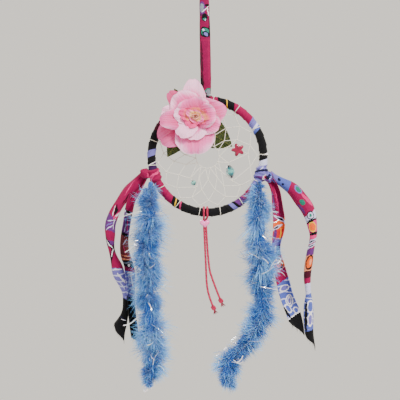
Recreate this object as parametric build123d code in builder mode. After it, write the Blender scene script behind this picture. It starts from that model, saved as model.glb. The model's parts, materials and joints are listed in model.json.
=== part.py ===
from build123d import *

import math
import os

# Dream catcher: a cloth-wound hoop with a beaded thread web, a silk flower, two down boas,
# four cloth tails and a corded tassel, hanging from a nail by a cloth strap.
# Origin: centre of the hanging eye, where the nail goes. +Z up, +X right, the front faces -Y.

# ---- Driving dimensions, millimetres ----
GAP = 0.3  # between pieces that move past each other

EYE_RADIUS = 7.0
EYE_BAND = 1.4
EYE_WIDTH = 8.0
HANGER_KNOT_SIZE = (6.5, 5.5)  # half height, radius

STRAP_WIDTH = 10.0
STRAP_DEPTH = 4.4
STRAP_TOP = -17.5

HOOP_RADIUS = 56.0  # to the middle of the wound tube
HOOP_Z = -181.5
CORE_RADIUS = 1.8
WRAP_RADIUS = 4.5
STRAP_TURN_RADIUS = 5.9
STRAP_TURN_ARC = 10.0  # degrees of hoop

THREAD_RADIUS = 0.35
HITCH_RADIUS, HITCH_TURN_RADIUS = 0.4, 5.0
WEB_KNOT_RADIUS = 0.8
HITCH_ANGLES = [0, 28, 56, 82, 110, 136, 162, 187, 212, 236, 260, 281, 305, 331]
WEB_RADII = [44.0, 34.0, 23.0, 12.0]
BEAD_HOLE = 0.7
# Each bead on the web: centre from the hoop's centre (x, z), and the way its hole points outwards.
STAR_PLACE, STAR_HOLE_ANGLE = (30.5, 6.0), -21.8
DROP_PLACE, DROP_HOLE_ANGLE = (22.5, -15.5), -77.3
SMALL_PLACE, SMALL_HOLE_ANGLE = (-14.5, -26.0), -56.6
STAR_TIP, STAR_VALLEY, STAR_DEPTH = 6.3, 4.2, 4.0
DROP_LENGTH, DROP_RADIUS, DROP_SIDES = 13.0, 4.3, 8
SMALL_LENGTH, SMALL_RADIUS, SMALL_SIDES = 5.4, 3.0, 6

FLOWER_X, FLOWER_Z = -16.5, -144.0
STEM_RADIUS = 1.0
STEM_BACK, STEM_FRONT = -2.6, 14.4  # forward of the web
PETAL_CLOTH = 1.0
CALYX_RADIUS = 6.0
LEAF_CLOTH = 0.4
GLUE_ANGLE, GLUE_RADIUS = 116, 6.0

TIE_RADIUS = 6.5
TIE_ARC = 13.0
LEFT_TIE_ANGLE, RIGHT_TIE_ANGLE = 198, 341
LEFT_KNOT, RIGHT_KNOT = (-62.5, -197.5), (60.5, -203.0)
KNOT_SIZE = (6.5, 5.0)

TAIL_CLOTH = 1.6
OUTER_TAIL_Y, INNER_TAIL_Y = 2.0, 7.0  # front face of each tail's own layer

STRING_RADIUS = 1.0
DOWN_RADIUS = 12.0
DOWN_END_ROUND = 9.0
TINSEL_WIDTH, TINSEL_FILM, TINSEL_LENGTH = 1.4, 0.4, 27.0

TASSEL_X = -2.95
TASSEL_CORD_RADIUS = 1.0
TASSEL_STRAND_GAP = 3.8  # between the two strands where they cross the hoop
TASSEL_TURN_RADIUS = 5.9
TASSEL_LEAN = 1.8  # degrees
TASSEL_KNOT_SIZE = (3.3, 2.7)
HEART_WIDTH, HEART_DEPTH, HEART_HOLE = 10.3, 7.0, 2.3
HEART_PLACE = (-3.9, -248.8)

# Routes of the cords, point by point.
LEFT_BOA = [
    (-57, -9, -206),
    (-58, -16.5, -228),
    (-60, -18, -258),
    (-65, -17.5, -298),
    (-61, -18, -340),
    (-55.5, -17.5, -374),
    (-62, -18, -403),
]
LEFT_DOWN_TOP, LEFT_DOWN_END = (-57.5, -17.5, -213), (-63.5, -18, -413)
RIGHT_BOA = [
    (50.5, -9, -208),
    (49.5, -16.5, -230),
    (49.5, -18, -262),
    (52.5, -17.5, -305),
    (47, -18, -340),
    (29, -17.5, -366),
    (12, -18, -386),
    (13.5, -17.5, -404),
]
RIGHT_DOWN_TOP, RIGHT_DOWN_END = (49.8, -17.5, -215), (15, -17.5, -413)
LEFT_STRAND = [
    (-5.05, 0, -244.2),
    (-3.6, 0, -291),
    (-3.3, 0, -311),
    (-0.4, 0, -324),
    (3.2, 0, -333),
]
RIGHT_STRAND = [
    (-2.95, 0, -244.2),
    (-1.5, 0, -291),
    (2.8, 0, -305),
    (7.9, 0, -319.5),
    (10.6, 0, -326),
]
# How each ribbon of tinsel lies: share of the way down the boa, tilt in degrees.
TINSEL = [(0.06, 35), (0.2, -50), (0.33, 20), (0.47, 68), (0.6, -28), (0.73, 52), (0.86, -60)]

# Tails as cut and bent: (x, z, half width) down the middle of each strip.
LEFT_OUTER_ROOT = [(-67, -200, 4.5), (-80, -213.5, 6.5), (-93, -231, 5.5), (-98, -246, 5.0)]
LEFT_OUTER_TAIL = [
    (-98, -247, 5.0),
    (-101, -258, 5.0),
    (-97.5, -280, 4.0),
    (-93, -293, 7.0),
    (-87, -321, 2.6),
    (-91.5, -352, 7.5),
    (-92.5, -366, 0.8),
]
LEFT_INNER_ROOT = [(-66, -204, 4.0), (-73, -218, 5.0), (-79, -231, 4.2), (-82.5, -247, 4.0)]
LEFT_INNER_TAIL = [
    (-82.5, -248, 4.0),
    (-84, -262, 4.2),
    (-83, -285, 5.0),
    (-80, -303, 6.0),
    (-79, -336, 4.5),
    (-75.5, -370, 0.8),
]
RIGHT_INNER_ROOT = [(62, -210, 3.2), (66, -219, 4.2), (71, -234, 5.0), (72, -247, 5.2)]
RIGHT_INNER_TAIL = [
    (72, -248, 5.2),
    (69, -266, 4.2),
    (71, -288, 5.8),
    (76, -305, 7.6),
    (81.5, -335, 9.6),
    (86, -352, 6.8),
    (88.5, -364, 0.8),
]
RIGHT_OUTER_ROOT = [(67, -203, 3.2), (76, -207.5, 3.8), (91, -219, 6.6), (101, -242, 6.0)]
RIGHT_OUTER_TAIL = [
    (101, -243, 6.0),
    (104.6, -257, 4.2),
    (100.5, -288, 3.6),
    (98.8, -307, 3.0),
    (99.3, -322, 1.6),
    (99.4, -340, 4.8),
    (98, -358, 4.6),
    (101, -379, 0.8),
]

os.makedirs("parts", exist_ok=True)

# ---- Shared geometry ----
HOOP_CENTRE = Vector(0, 0, HOOP_Z)
HOOP_AXIS = Axis(HOOP_CENTRE, (0, -1, 0))


def hoop_point(angle, radius=HOOP_RADIUS):
    """The point at that angle, anticlockwise from +X as seen from the front."""
    turn = math.radians(angle)
    return HOOP_CENTRE + Vector(radius * math.cos(turn), 0, radius * math.sin(turn))


def hoop_plane(angle):
    """The plane across the hoop's tube at that angle, its x axis pointing outwards."""
    outwards = hoop_point(angle) - HOOP_CENTRE
    return Plane(origin=hoop_point(angle), x_dir=outwards, z_dir=outwards.cross(Vector(0, 1, 0)))


def add_hoop_turn(angle, arc, radius, mode=Mode.ADD):
    """A round tube carried along an arc of the hoop, added to or cut from the part being made."""
    with BuildSketch(hoop_plane(angle - arc / 2)) as section:
        Circle(radius)
    revolve(section.sketch, axis=HOOP_AXIS, revolution_arc=arc, mode=mode)


def hoop_sleeve(angle, arc, inner, outer):
    """A cloth turn round the hoop: a ring section carried along an arc of it."""
    with BuildPart() as sleeve:
        add_hoop_turn(angle, arc, outer)
        add_hoop_turn(angle, arc, inner, Mode.SUBTRACT)
    return sleeve


def add_lump(centre, direction, half_length, radius):
    """A knot's solid of revolution, its long way along `direction`, which lies in the hoop's plane."""
    with BuildSketch(Plane(origin=centre, x_dir=direction, z_dir=(0, -1, 0))) as half:
        Ellipse(half_length, radius)
        Rectangle(2 * half_length, radius, align=(Align.CENTER, Align.MIN), mode=Mode.INTERSECT)
    revolve(half.sketch, axis=Axis(centre, direction))


def write(builder, name):
    builder.part.label = name
    export_step(builder.part, f"parts/{name}.step")


# ---- Hanger ----
with BuildPart() as hanging_eye:
    with BuildSketch(Plane.XZ.offset(-EYE_WIDTH / 2)):
        Circle(EYE_RADIUS + EYE_BAND)
        Circle(EYE_RADIUS, mode=Mode.SUBTRACT)
    extrude(amount=EYE_WIDTH)

knot_height, knot_radius = HANGER_KNOT_SIZE
with BuildPart() as hanger_knot:
    add_lump((0, 0, STRAP_TOP + knot_height - 1), (0, 0, 1), knot_height, knot_radius)
    with BuildSketch(Plane.XZ.offset(-EYE_WIDTH)):
        Circle(EYE_RADIUS + EYE_BAND)
    extrude(amount=2 * EYE_WIDTH, mode=Mode.SUBTRACT)
    split(bisect_by=Plane.XY.offset(STRAP_TOP), keep=Keep.TOP)

strap_foot = HOOP_Z + HOOP_RADIUS + STRAP_TURN_RADIUS + GAP
with BuildPart() as hanging_strap:
    with BuildSketch(Plane.XY.offset(strap_foot)):
        Ellipse(STRAP_WIDTH / 2, STRAP_DEPTH / 2)
    extrude(amount=STRAP_TOP - strap_foot)

strap_hitch = hoop_sleeve(90, STRAP_TURN_ARC, WRAP_RADIUS, STRAP_TURN_RADIUS)

# ---- Hoop ----
with BuildPart() as hoop_core:
    add_hoop_turn(0, 360, CORE_RADIUS)

hoop_wrap = hoop_sleeve(0, 360, CORE_RADIUS, WRAP_RADIUS)


# ---- Web ----
def web_place(x, z):
    return Vector(x, 0, HOOP_Z + z)


def along_hole(place, angle, reach):
    """The point on a bead's hole line, that far outwards of the bead's centre."""
    turn = math.radians(angle)
    return web_place(place[0] + reach * math.cos(turn), place[1] + reach * math.sin(turn))


def web_rounds():
    """The web's knots, round by round from the hoop inwards."""
    angles = list(HITCH_ANGLES)
    inside_hitches = HOOP_RADIUS - HITCH_TURN_RADIUS - HITCH_RADIUS - WEB_KNOT_RADIUS - 0.05
    rounds = [[hoop_point(a, inside_hitches) for a in angles]]
    for radius in WEB_RADII:
        nexts = angles[1:] + [angles[0] + 360]
        angles = [(a + b) / 2 for a, b in zip(angles, nexts)]
        rounds.append([hoop_point(a, radius) for a in angles])
    return rounds


knots = web_rounds()
# The spans that carry beads run straight through them, and crowd the knots beside them.
knots[2][13] = along_hole(STAR_PLACE, STAR_HOLE_ANGLE, 10.8)
knots[3][13] = along_hole(STAR_PLACE, STAR_HOLE_ANGLE, -9.7)
knots[2][12] = along_hole(DROP_PLACE, DROP_HOLE_ANGLE, 10)
knots[3][12] = along_hole(DROP_PLACE, DROP_HOLE_ANGLE, -8.9)
knots[2][8] = along_hole(SMALL_PLACE, SMALL_HOLE_ANGLE, 5.5)
knots[3][7] = along_hole(SMALL_PLACE, SMALL_HOLE_ANGLE, -5.5)
knots[2][11] = web_place(16, -30)
knots[3][11] = web_place(13.5, -15.5)

spans = []
for outer, inner in zip(knots, knots[1:]):
    spans += zip(outer, inner)
    spans += zip(inner, outer[1:] + outer[:1])
spans += zip(knots[-1], knots[-1][1:] + knots[-1][:1])

with BuildPart() as web_thread:
    for start, end in spans:
        with BuildSketch(Plane(origin=start, z_dir=end - start)):
            Circle(THREAD_RADIUS)
        extrude(amount=(end - start).length)
    with Locations(*[knot for ring in knots for knot in ring]):
        Sphere(WEB_KNOT_RADIUS, rotation=(0, 0, 90))

# The turns of thread round the hoop, each just outside one of the web's outermost knots.
with BuildPart() as web_hitches:
    with Locations(*[hoop_plane(angle) for angle in HITCH_ANGLES]):
        Torus(HITCH_TURN_RADIUS, HITCH_RADIUS)


# ---- Beads on the web ----
def hole_plane(place, angle):
    """Across a bead's hole, at its centre, with the hole along z and the web's normal along x."""
    centre = web_place(*place)
    return Plane(origin=centre, x_dir=(0, -1, 0), z_dir=along_hole(place, angle, 1) - centre)


def cut_bead(place, angle, length, radius, sides):
    """A faceted bead, widest at the middle, bored from end to end."""
    across = hole_plane(place, angle)
    with BuildPart() as bead:
        for start, end in ((-0.5, 0), (0, 0.5)):
            for height in (start, end):
                with BuildSketch(across.offset(height * length)):
                    RegularPolygon(radius if height == 0 else 0.42 * radius, sides)
            loft()
        with BuildSketch(across.offset(-length)):
            Circle(BEAD_HOLE)
        extrude(amount=2 * length, mode=Mode.SUBTRACT)
    return bead


drop_bead = cut_bead(DROP_PLACE, DROP_HOLE_ANGLE, DROP_LENGTH, DROP_RADIUS, DROP_SIDES)
small_bead = cut_bead(SMALL_PLACE, SMALL_HOLE_ANGLE, SMALL_LENGTH, SMALL_RADIUS, SMALL_SIDES)

with BuildPart() as star_bead:
    with BuildSketch(Plane(origin=web_place(*STAR_PLACE), x_dir=(1, 0, 0), z_dir=(0, -1, 0))):
        corners = []
        for i in range(10):
            reach = STAR_VALLEY if i % 2 else STAR_TIP
            turn = math.radians(180 + 36 * i)
            corners.append((reach * math.cos(turn), reach * math.sin(turn)))
        Polygon(*corners, align=None)
    extrude(amount=STAR_DEPTH / 2, both=True)
    fillet(star_bead.edges().filter_by(Axis.Y), radius=0.6)
    with BuildSketch(hole_plane(STAR_PLACE, STAR_HOLE_ANGLE).offset(-STAR_TIP - 1)):
        Circle(BEAD_HOLE)
    extrude(amount=2 * STAR_TIP + 2, mode=Mode.SUBTRACT)

# ---- Flower ----
# In the flower's plane x is right, y is up and z comes forward.
FLOWER = Plane(origin=(FLOWER_X, 0, FLOWER_Z), x_dir=(1, 0, 0), z_dir=(0, -1, 0))

with BuildPart() as flower_stem:
    with BuildSketch(FLOWER.offset(STEM_BACK)):
        Circle(STEM_RADIUS)
    extrude(amount=STEM_FRONT - STEM_BACK)


def petal_layer(reach, lobe, count, turn, back, bowl):
    """One die-cut layer of rounded petals, pressed to a bowl of that radius."""
    with BuildPart() as layer:
        with Locations(FLOWER.offset(back + bowl)):
            Sphere(bowl)
            Sphere(bowl - PETAL_CLOTH, mode=Mode.SUBTRACT)
        with BuildSketch(FLOWER):
            with PolarLocations(reach - lobe, count, start_angle=turn):
                Circle(lobe)
            Circle(reach - lobe)
            Circle(STEM_RADIUS, mode=Mode.SUBTRACT)
        extrude(amount=back + bowl, mode=Mode.INTERSECT)
    return layer


petal_layers = {
    "petals_outer": petal_layer(reach=35, lobe=15, count=5, turn=54, back=6.5, bowl=60),
    "petals_second": petal_layer(reach=29, lobe=12, count=5, turn=90, back=8, bowl=48),
    "petals_third": petal_layer(reach=23, lobe=9, count=5, turn=60, back=9.5, bowl=38),
    "petals_fourth": petal_layer(reach=17.5, lobe=7, count=5, turn=20, back=11, bowl=28),
    "petals_inner": petal_layer(reach=11.5, lobe=5, count=4, turn=0, back=12.5, bowl=16),
}

with BuildPart() as flower_bud:
    with BuildSketch(FLOWER.offset(STEM_FRONT)):
        Circle(3)
    with BuildSketch(FLOWER.offset(STEM_FRONT + 4)):
        Circle(5)
    loft()
    fillet(flower_bud.faces().sort_by(Axis.Y)[0].edges(), radius=1.5)

calyx_back = 5.9
with BuildPart() as flower_calyx:
    with BuildSketch(FLOWER.offset(calyx_back)):
        Circle(CALYX_RADIUS)
        Circle(STEM_RADIUS, mode=Mode.SUBTRACT)
    extrude(amount=0.5)


def leaf(back, angle, length, half_width):
    """A pointed leaf whose heel is threaded on the stem, reaching out at that angle."""
    turn = math.radians(angle)
    heel = FLOWER.offset(back).origin
    with BuildPart() as blade:
        with BuildSketch(Plane(origin=heel, x_dir=(math.cos(turn), 0, math.sin(turn)), z_dir=(0, -1, 0))):
            with BuildLine():
                Spline((0, 2.2), (0.6 * length, half_width), (length, 0), tangents=((1, 0.1), (0.7, -0.7)))
                Spline((length, 0), (0.6 * length, -half_width), (0, -2.2), tangents=((-0.7, -0.7), (-1, 0.1)))
                Line((0, -2.2), (0, 2.2))
            make_face()
            Circle(2.2)
            Circle(STEM_RADIUS, mode=Mode.SUBTRACT)
        extrude(amount=LEAF_CLOTH)
    return blade


leaf_left = leaf(back=5.0, angle=-121, length=44, half_width=9)
leaf_top = leaf(back=5.45, angle=116.6, length=34, half_width=6)
leaf_right = leaf(back=-1.4, angle=-33, length=49, half_width=9.5)

with BuildPart() as flower_glue:
    glue_centre = hoop_point(GLUE_ANGLE)
    with BuildSketch(Plane(origin=(glue_centre.X, 0, glue_centre.Z), x_dir=(1, 0, 0), z_dir=(0, -1, 0))):
        Circle(GLUE_RADIUS)
    extrude(amount=5.4)
    add_hoop_turn(GLUE_ANGLE, 60, WRAP_RADIUS, Mode.SUBTRACT)
    add(web_hitches.part, mode=Mode.SUBTRACT)


# ---- Side ties ----
def tie_knot(place, tie_angle):
    """The knot on the outer side of a tie, cut to the cloth turns it sits on."""
    with BuildPart() as knot:
        add_lump((place[0], 0, place[1]), hoop_plane(tie_angle).z_dir, *KNOT_SIZE)
        add_hoop_turn(tie_angle, 60, TIE_RADIUS, Mode.SUBTRACT)
    return knot


left_tie = hoop_sleeve(LEFT_TIE_ANGLE, TIE_ARC, WRAP_RADIUS, TIE_RADIUS)
right_tie = hoop_sleeve(RIGHT_TIE_ANGLE, TIE_ARC, WRAP_RADIUS, TIE_RADIUS)
left_knot = tie_knot(LEFT_KNOT, LEFT_TIE_ANGLE)
right_knot = tie_knot(RIGHT_KNOT, RIGHT_TIE_ANGLE)


# ---- Tails ----
def add_strip(stations, front):
    """A flat strip of cloth through its stations, in the layer that starts at y = front."""
    middles = [Vector(x, z) for x, z, _ in stations]
    left, right = [], []
    for i, (middle, (_, _, half)) in enumerate(zip(middles, stations)):
        run = middles[min(i + 1, len(middles) - 1)] - middles[max(i - 1, 0)]
        across = Vector(run.Y, -run.X).normalized() * half
        left.append(middle - across)
        right.append(middle + across)
    with BuildSketch(Plane.XZ.offset(-front)) as outline:
        with BuildLine():
            Spline(*left)
            Line(left[-1], right[-1])
            Spline(*right[::-1])
            Line(right[0], left[0])
        make_face()
    extrude(outline.sketch, amount=-TAIL_CLOTH)


def add_bend_disc(pivot, radius, front, mode=Mode.ADD):
    """A disc about the bend, as thick as the cloth."""
    with BuildSketch(Plane.XZ.offset(-front)) as disc:
        with Locations(pivot):
            Circle(radius)
    extrude(disc.sketch, amount=-TAIL_CLOTH, mode=mode)


def tail(root_stations, tail_stations, front):
    """A tail's root, and its hanging length, which turns about the bend between them."""
    x, z, half = tail_stations[0]
    with BuildPart() as root:
        add_strip(root_stations, front)
        add_bend_disc((x, z), half + GAP, front, Mode.SUBTRACT)
    with BuildPart() as hanging:
        add_strip(tail_stations, front)
        add_bend_disc((x, z), half, front)
    return root, hanging


left_outer_root, left_outer_tail = tail(LEFT_OUTER_ROOT, LEFT_OUTER_TAIL, OUTER_TAIL_Y)
left_inner_root, left_inner_tail = tail(LEFT_INNER_ROOT, LEFT_INNER_TAIL, INNER_TAIL_Y)
right_inner_root, right_inner_tail = tail(RIGHT_INNER_ROOT, RIGHT_INNER_TAIL, INNER_TAIL_Y)
right_outer_root, right_outer_tail = tail(RIGHT_OUTER_ROOT, RIGHT_OUTER_TAIL, OUTER_TAIL_Y)


# ---- Cords ----
def bend_radii(points):
    """The radius of each bend: as large as the two runs beside it allow."""
    radii = []
    for before, at, after in zip(points, points[1:], points[2:]):
        one, two = Vector(at) - Vector(before), Vector(after) - Vector(at)
        half_turn = math.radians(one.get_angle(two) / 2)
        radii.append(0.45 * min(one.length, two.length) / math.tan(half_turn))
    return radii


def cord(name, points, radius, end_round=0):
    """A round cord along straight runs joined by arcs, its ends rounded off where asked."""
    with BuildPart() as tube:
        with BuildLine() as route:
            FilletPolyline(*points, radius=bend_radii(points))
        line = route.wires()[0]
        with BuildSketch(Plane(origin=line @ 0, z_dir=line % 0)):
            Circle(radius)
        sweep(path=line)
        swept = tube.part.volume
        if end_round:
            fillet(tube.faces().filter_by(GeomType.PLANE).edges(), radius=end_round)
    expected = math.pi * radius**2 * line.length
    smallest = min(bend_radii(points))
    print(f"{name}: length {line.length:.1f}, bends {smallest:.0f} or more, {swept:.1f} of {expected:.1f}")
    return tube, line


left_boa_string, left_line = cord("left_boa_string", LEFT_BOA, STRING_RADIUS)
right_boa_string, right_line = cord("right_boa_string", RIGHT_BOA, STRING_RADIUS)


# The down round each string, from just under the tie to a little past the string's end.
left_down_route = [LEFT_DOWN_TOP] + LEFT_BOA[2:-1] + [LEFT_DOWN_END]
right_down_route = [RIGHT_DOWN_TOP] + RIGHT_BOA[2:-1] + [RIGHT_DOWN_END]
left_boa_down, _ = cord("left_boa_down", left_down_route, DOWN_RADIUS, DOWN_END_ROUND)
right_boa_down, _ = cord("right_boa_down", right_down_route, DOWN_RADIUS, DOWN_END_ROUND)


def tinsel(line, mirror):
    """Ribbons of film across the boa, tilted both ways."""
    with BuildPart() as ribbons:
        for share, tilt in TINSEL:
            place = line @ (0.12 + 0.85 * share)
            with Locations(Location(place, (0, mirror * tilt, 0))):
                Box(TINSEL_WIDTH, TINSEL_FILM, TINSEL_LENGTH)
    return ribbons


left_boa_tinsel = tinsel(left_line, 1)
right_boa_tinsel = tinsel(right_line, -1)

# ---- Tassel ----
tassel_z = hoop_point(270).Z
strand_places = [TASSEL_X - TASSEL_STRAND_GAP / 2, TASSEL_X + TASSEL_STRAND_GAP / 2]
with BuildPart() as tassel_hitch:
    for x in strand_places:
        with Locations(Plane(origin=(x, 0, tassel_z), z_dir=(1, 0, 0))):
            Torus(TASSEL_TURN_RADIUS, TASSEL_CORD_RADIUS)
    with BuildSketch(Plane(origin=(strand_places[0], TASSEL_TURN_RADIUS, tassel_z), z_dir=(1, 0, 0))):
        Circle(0.9 * TASSEL_CORD_RADIUS)
    extrude(amount=TASSEL_STRAND_GAP)

tassel_cord_left, _ = cord("tassel_cord_left", LEFT_STRAND, TASSEL_CORD_RADIUS)
tassel_cord_right, _ = cord("tassel_cord_right", RIGHT_STRAND, TASSEL_CORD_RADIUS)
with BuildPart() as tassel_knot_left:
    add_lump(LEFT_STRAND[-1], (0.37, 0, -0.93), *TASSEL_KNOT_SIZE)
with BuildPart() as tassel_knot_right:
    add_lump(RIGHT_STRAND[-1], (0.37, 0, -0.93), *TASSEL_KNOT_SIZE)

lean = math.radians(TASSEL_LEAN)
down_cords = Vector(math.sin(lean), 0, -math.cos(lean))
heart_centre = Vector(HEART_PLACE[0], 0, HEART_PLACE[1])
lobe_radius = 0.262 * HEART_WIDTH
lobe_x = HEART_WIDTH / 2 - lobe_radius
with BuildPart() as heart_bead:
    with BuildSketch(Plane(origin=heart_centre, x_dir=(math.cos(lean), 0, math.sin(lean)), z_dir=(0, -1, 0))):
        with Locations((-lobe_x, 1.3), (lobe_x, 1.3)):
            Circle(lobe_radius)
        Polygon((-4.9, 0.2), (0, -4.1), (4.9, 0.2), (0, 2.6), align=None)
    extrude(amount=HEART_DEPTH / 2, both=True)
    chamfer(heart_bead.faces().filter_by(Axis.Y).edges(), length=0.7)
    with BuildSketch(Plane(origin=heart_centre - down_cords * HEART_WIDTH, z_dir=down_cords)):
        Circle(HEART_HOLE)
    extrude(amount=2 * HEART_WIDTH, mode=Mode.SUBTRACT)

# ---- Write every piece ----
pieces = {
    "hanging_eye": hanging_eye,
    "hanger_knot": hanger_knot,
    "hanging_strap": hanging_strap,
    "strap_hitch": strap_hitch,
    "hoop_core": hoop_core,
    "hoop_wrap": hoop_wrap,
    "web_thread": web_thread,
    "web_hitches": web_hitches,
    "star_bead": star_bead,
    "drop_bead": drop_bead,
    "small_bead": small_bead,
    "flower_stem": flower_stem,
    "flower_calyx": flower_calyx,
    **petal_layers,
    "flower_bud": flower_bud,
    "flower_glue": flower_glue,
    "leaf_right": leaf_right,
    "leaf_left": leaf_left,
    "leaf_top": leaf_top,
    "left_tie": left_tie,
    "right_tie": right_tie,
    "left_knot": left_knot,
    "right_knot": right_knot,
    "left_outer_root": left_outer_root,
    "left_outer_tail": left_outer_tail,
    "left_inner_root": left_inner_root,
    "left_inner_tail": left_inner_tail,
    "right_inner_root": right_inner_root,
    "right_inner_tail": right_inner_tail,
    "right_outer_root": right_outer_root,
    "right_outer_tail": right_outer_tail,
    "left_boa_string": left_boa_string,
    "right_boa_string": right_boa_string,
    "left_boa_down": left_boa_down,
    "right_boa_down": right_boa_down,
    "left_boa_tinsel": left_boa_tinsel,
    "right_boa_tinsel": right_boa_tinsel,
    "tassel_hitch": tassel_hitch,
    "tassel_cord_left": tassel_cord_left,
    "tassel_cord_right": tassel_cord_right,
    "tassel_knot_left": tassel_knot_left,
    "tassel_knot_right": tassel_knot_right,
    "heart_bead": heart_bead,
}
for name, builder in pieces.items():
    write(builder, name)
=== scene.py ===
import json
import math
import random

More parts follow.
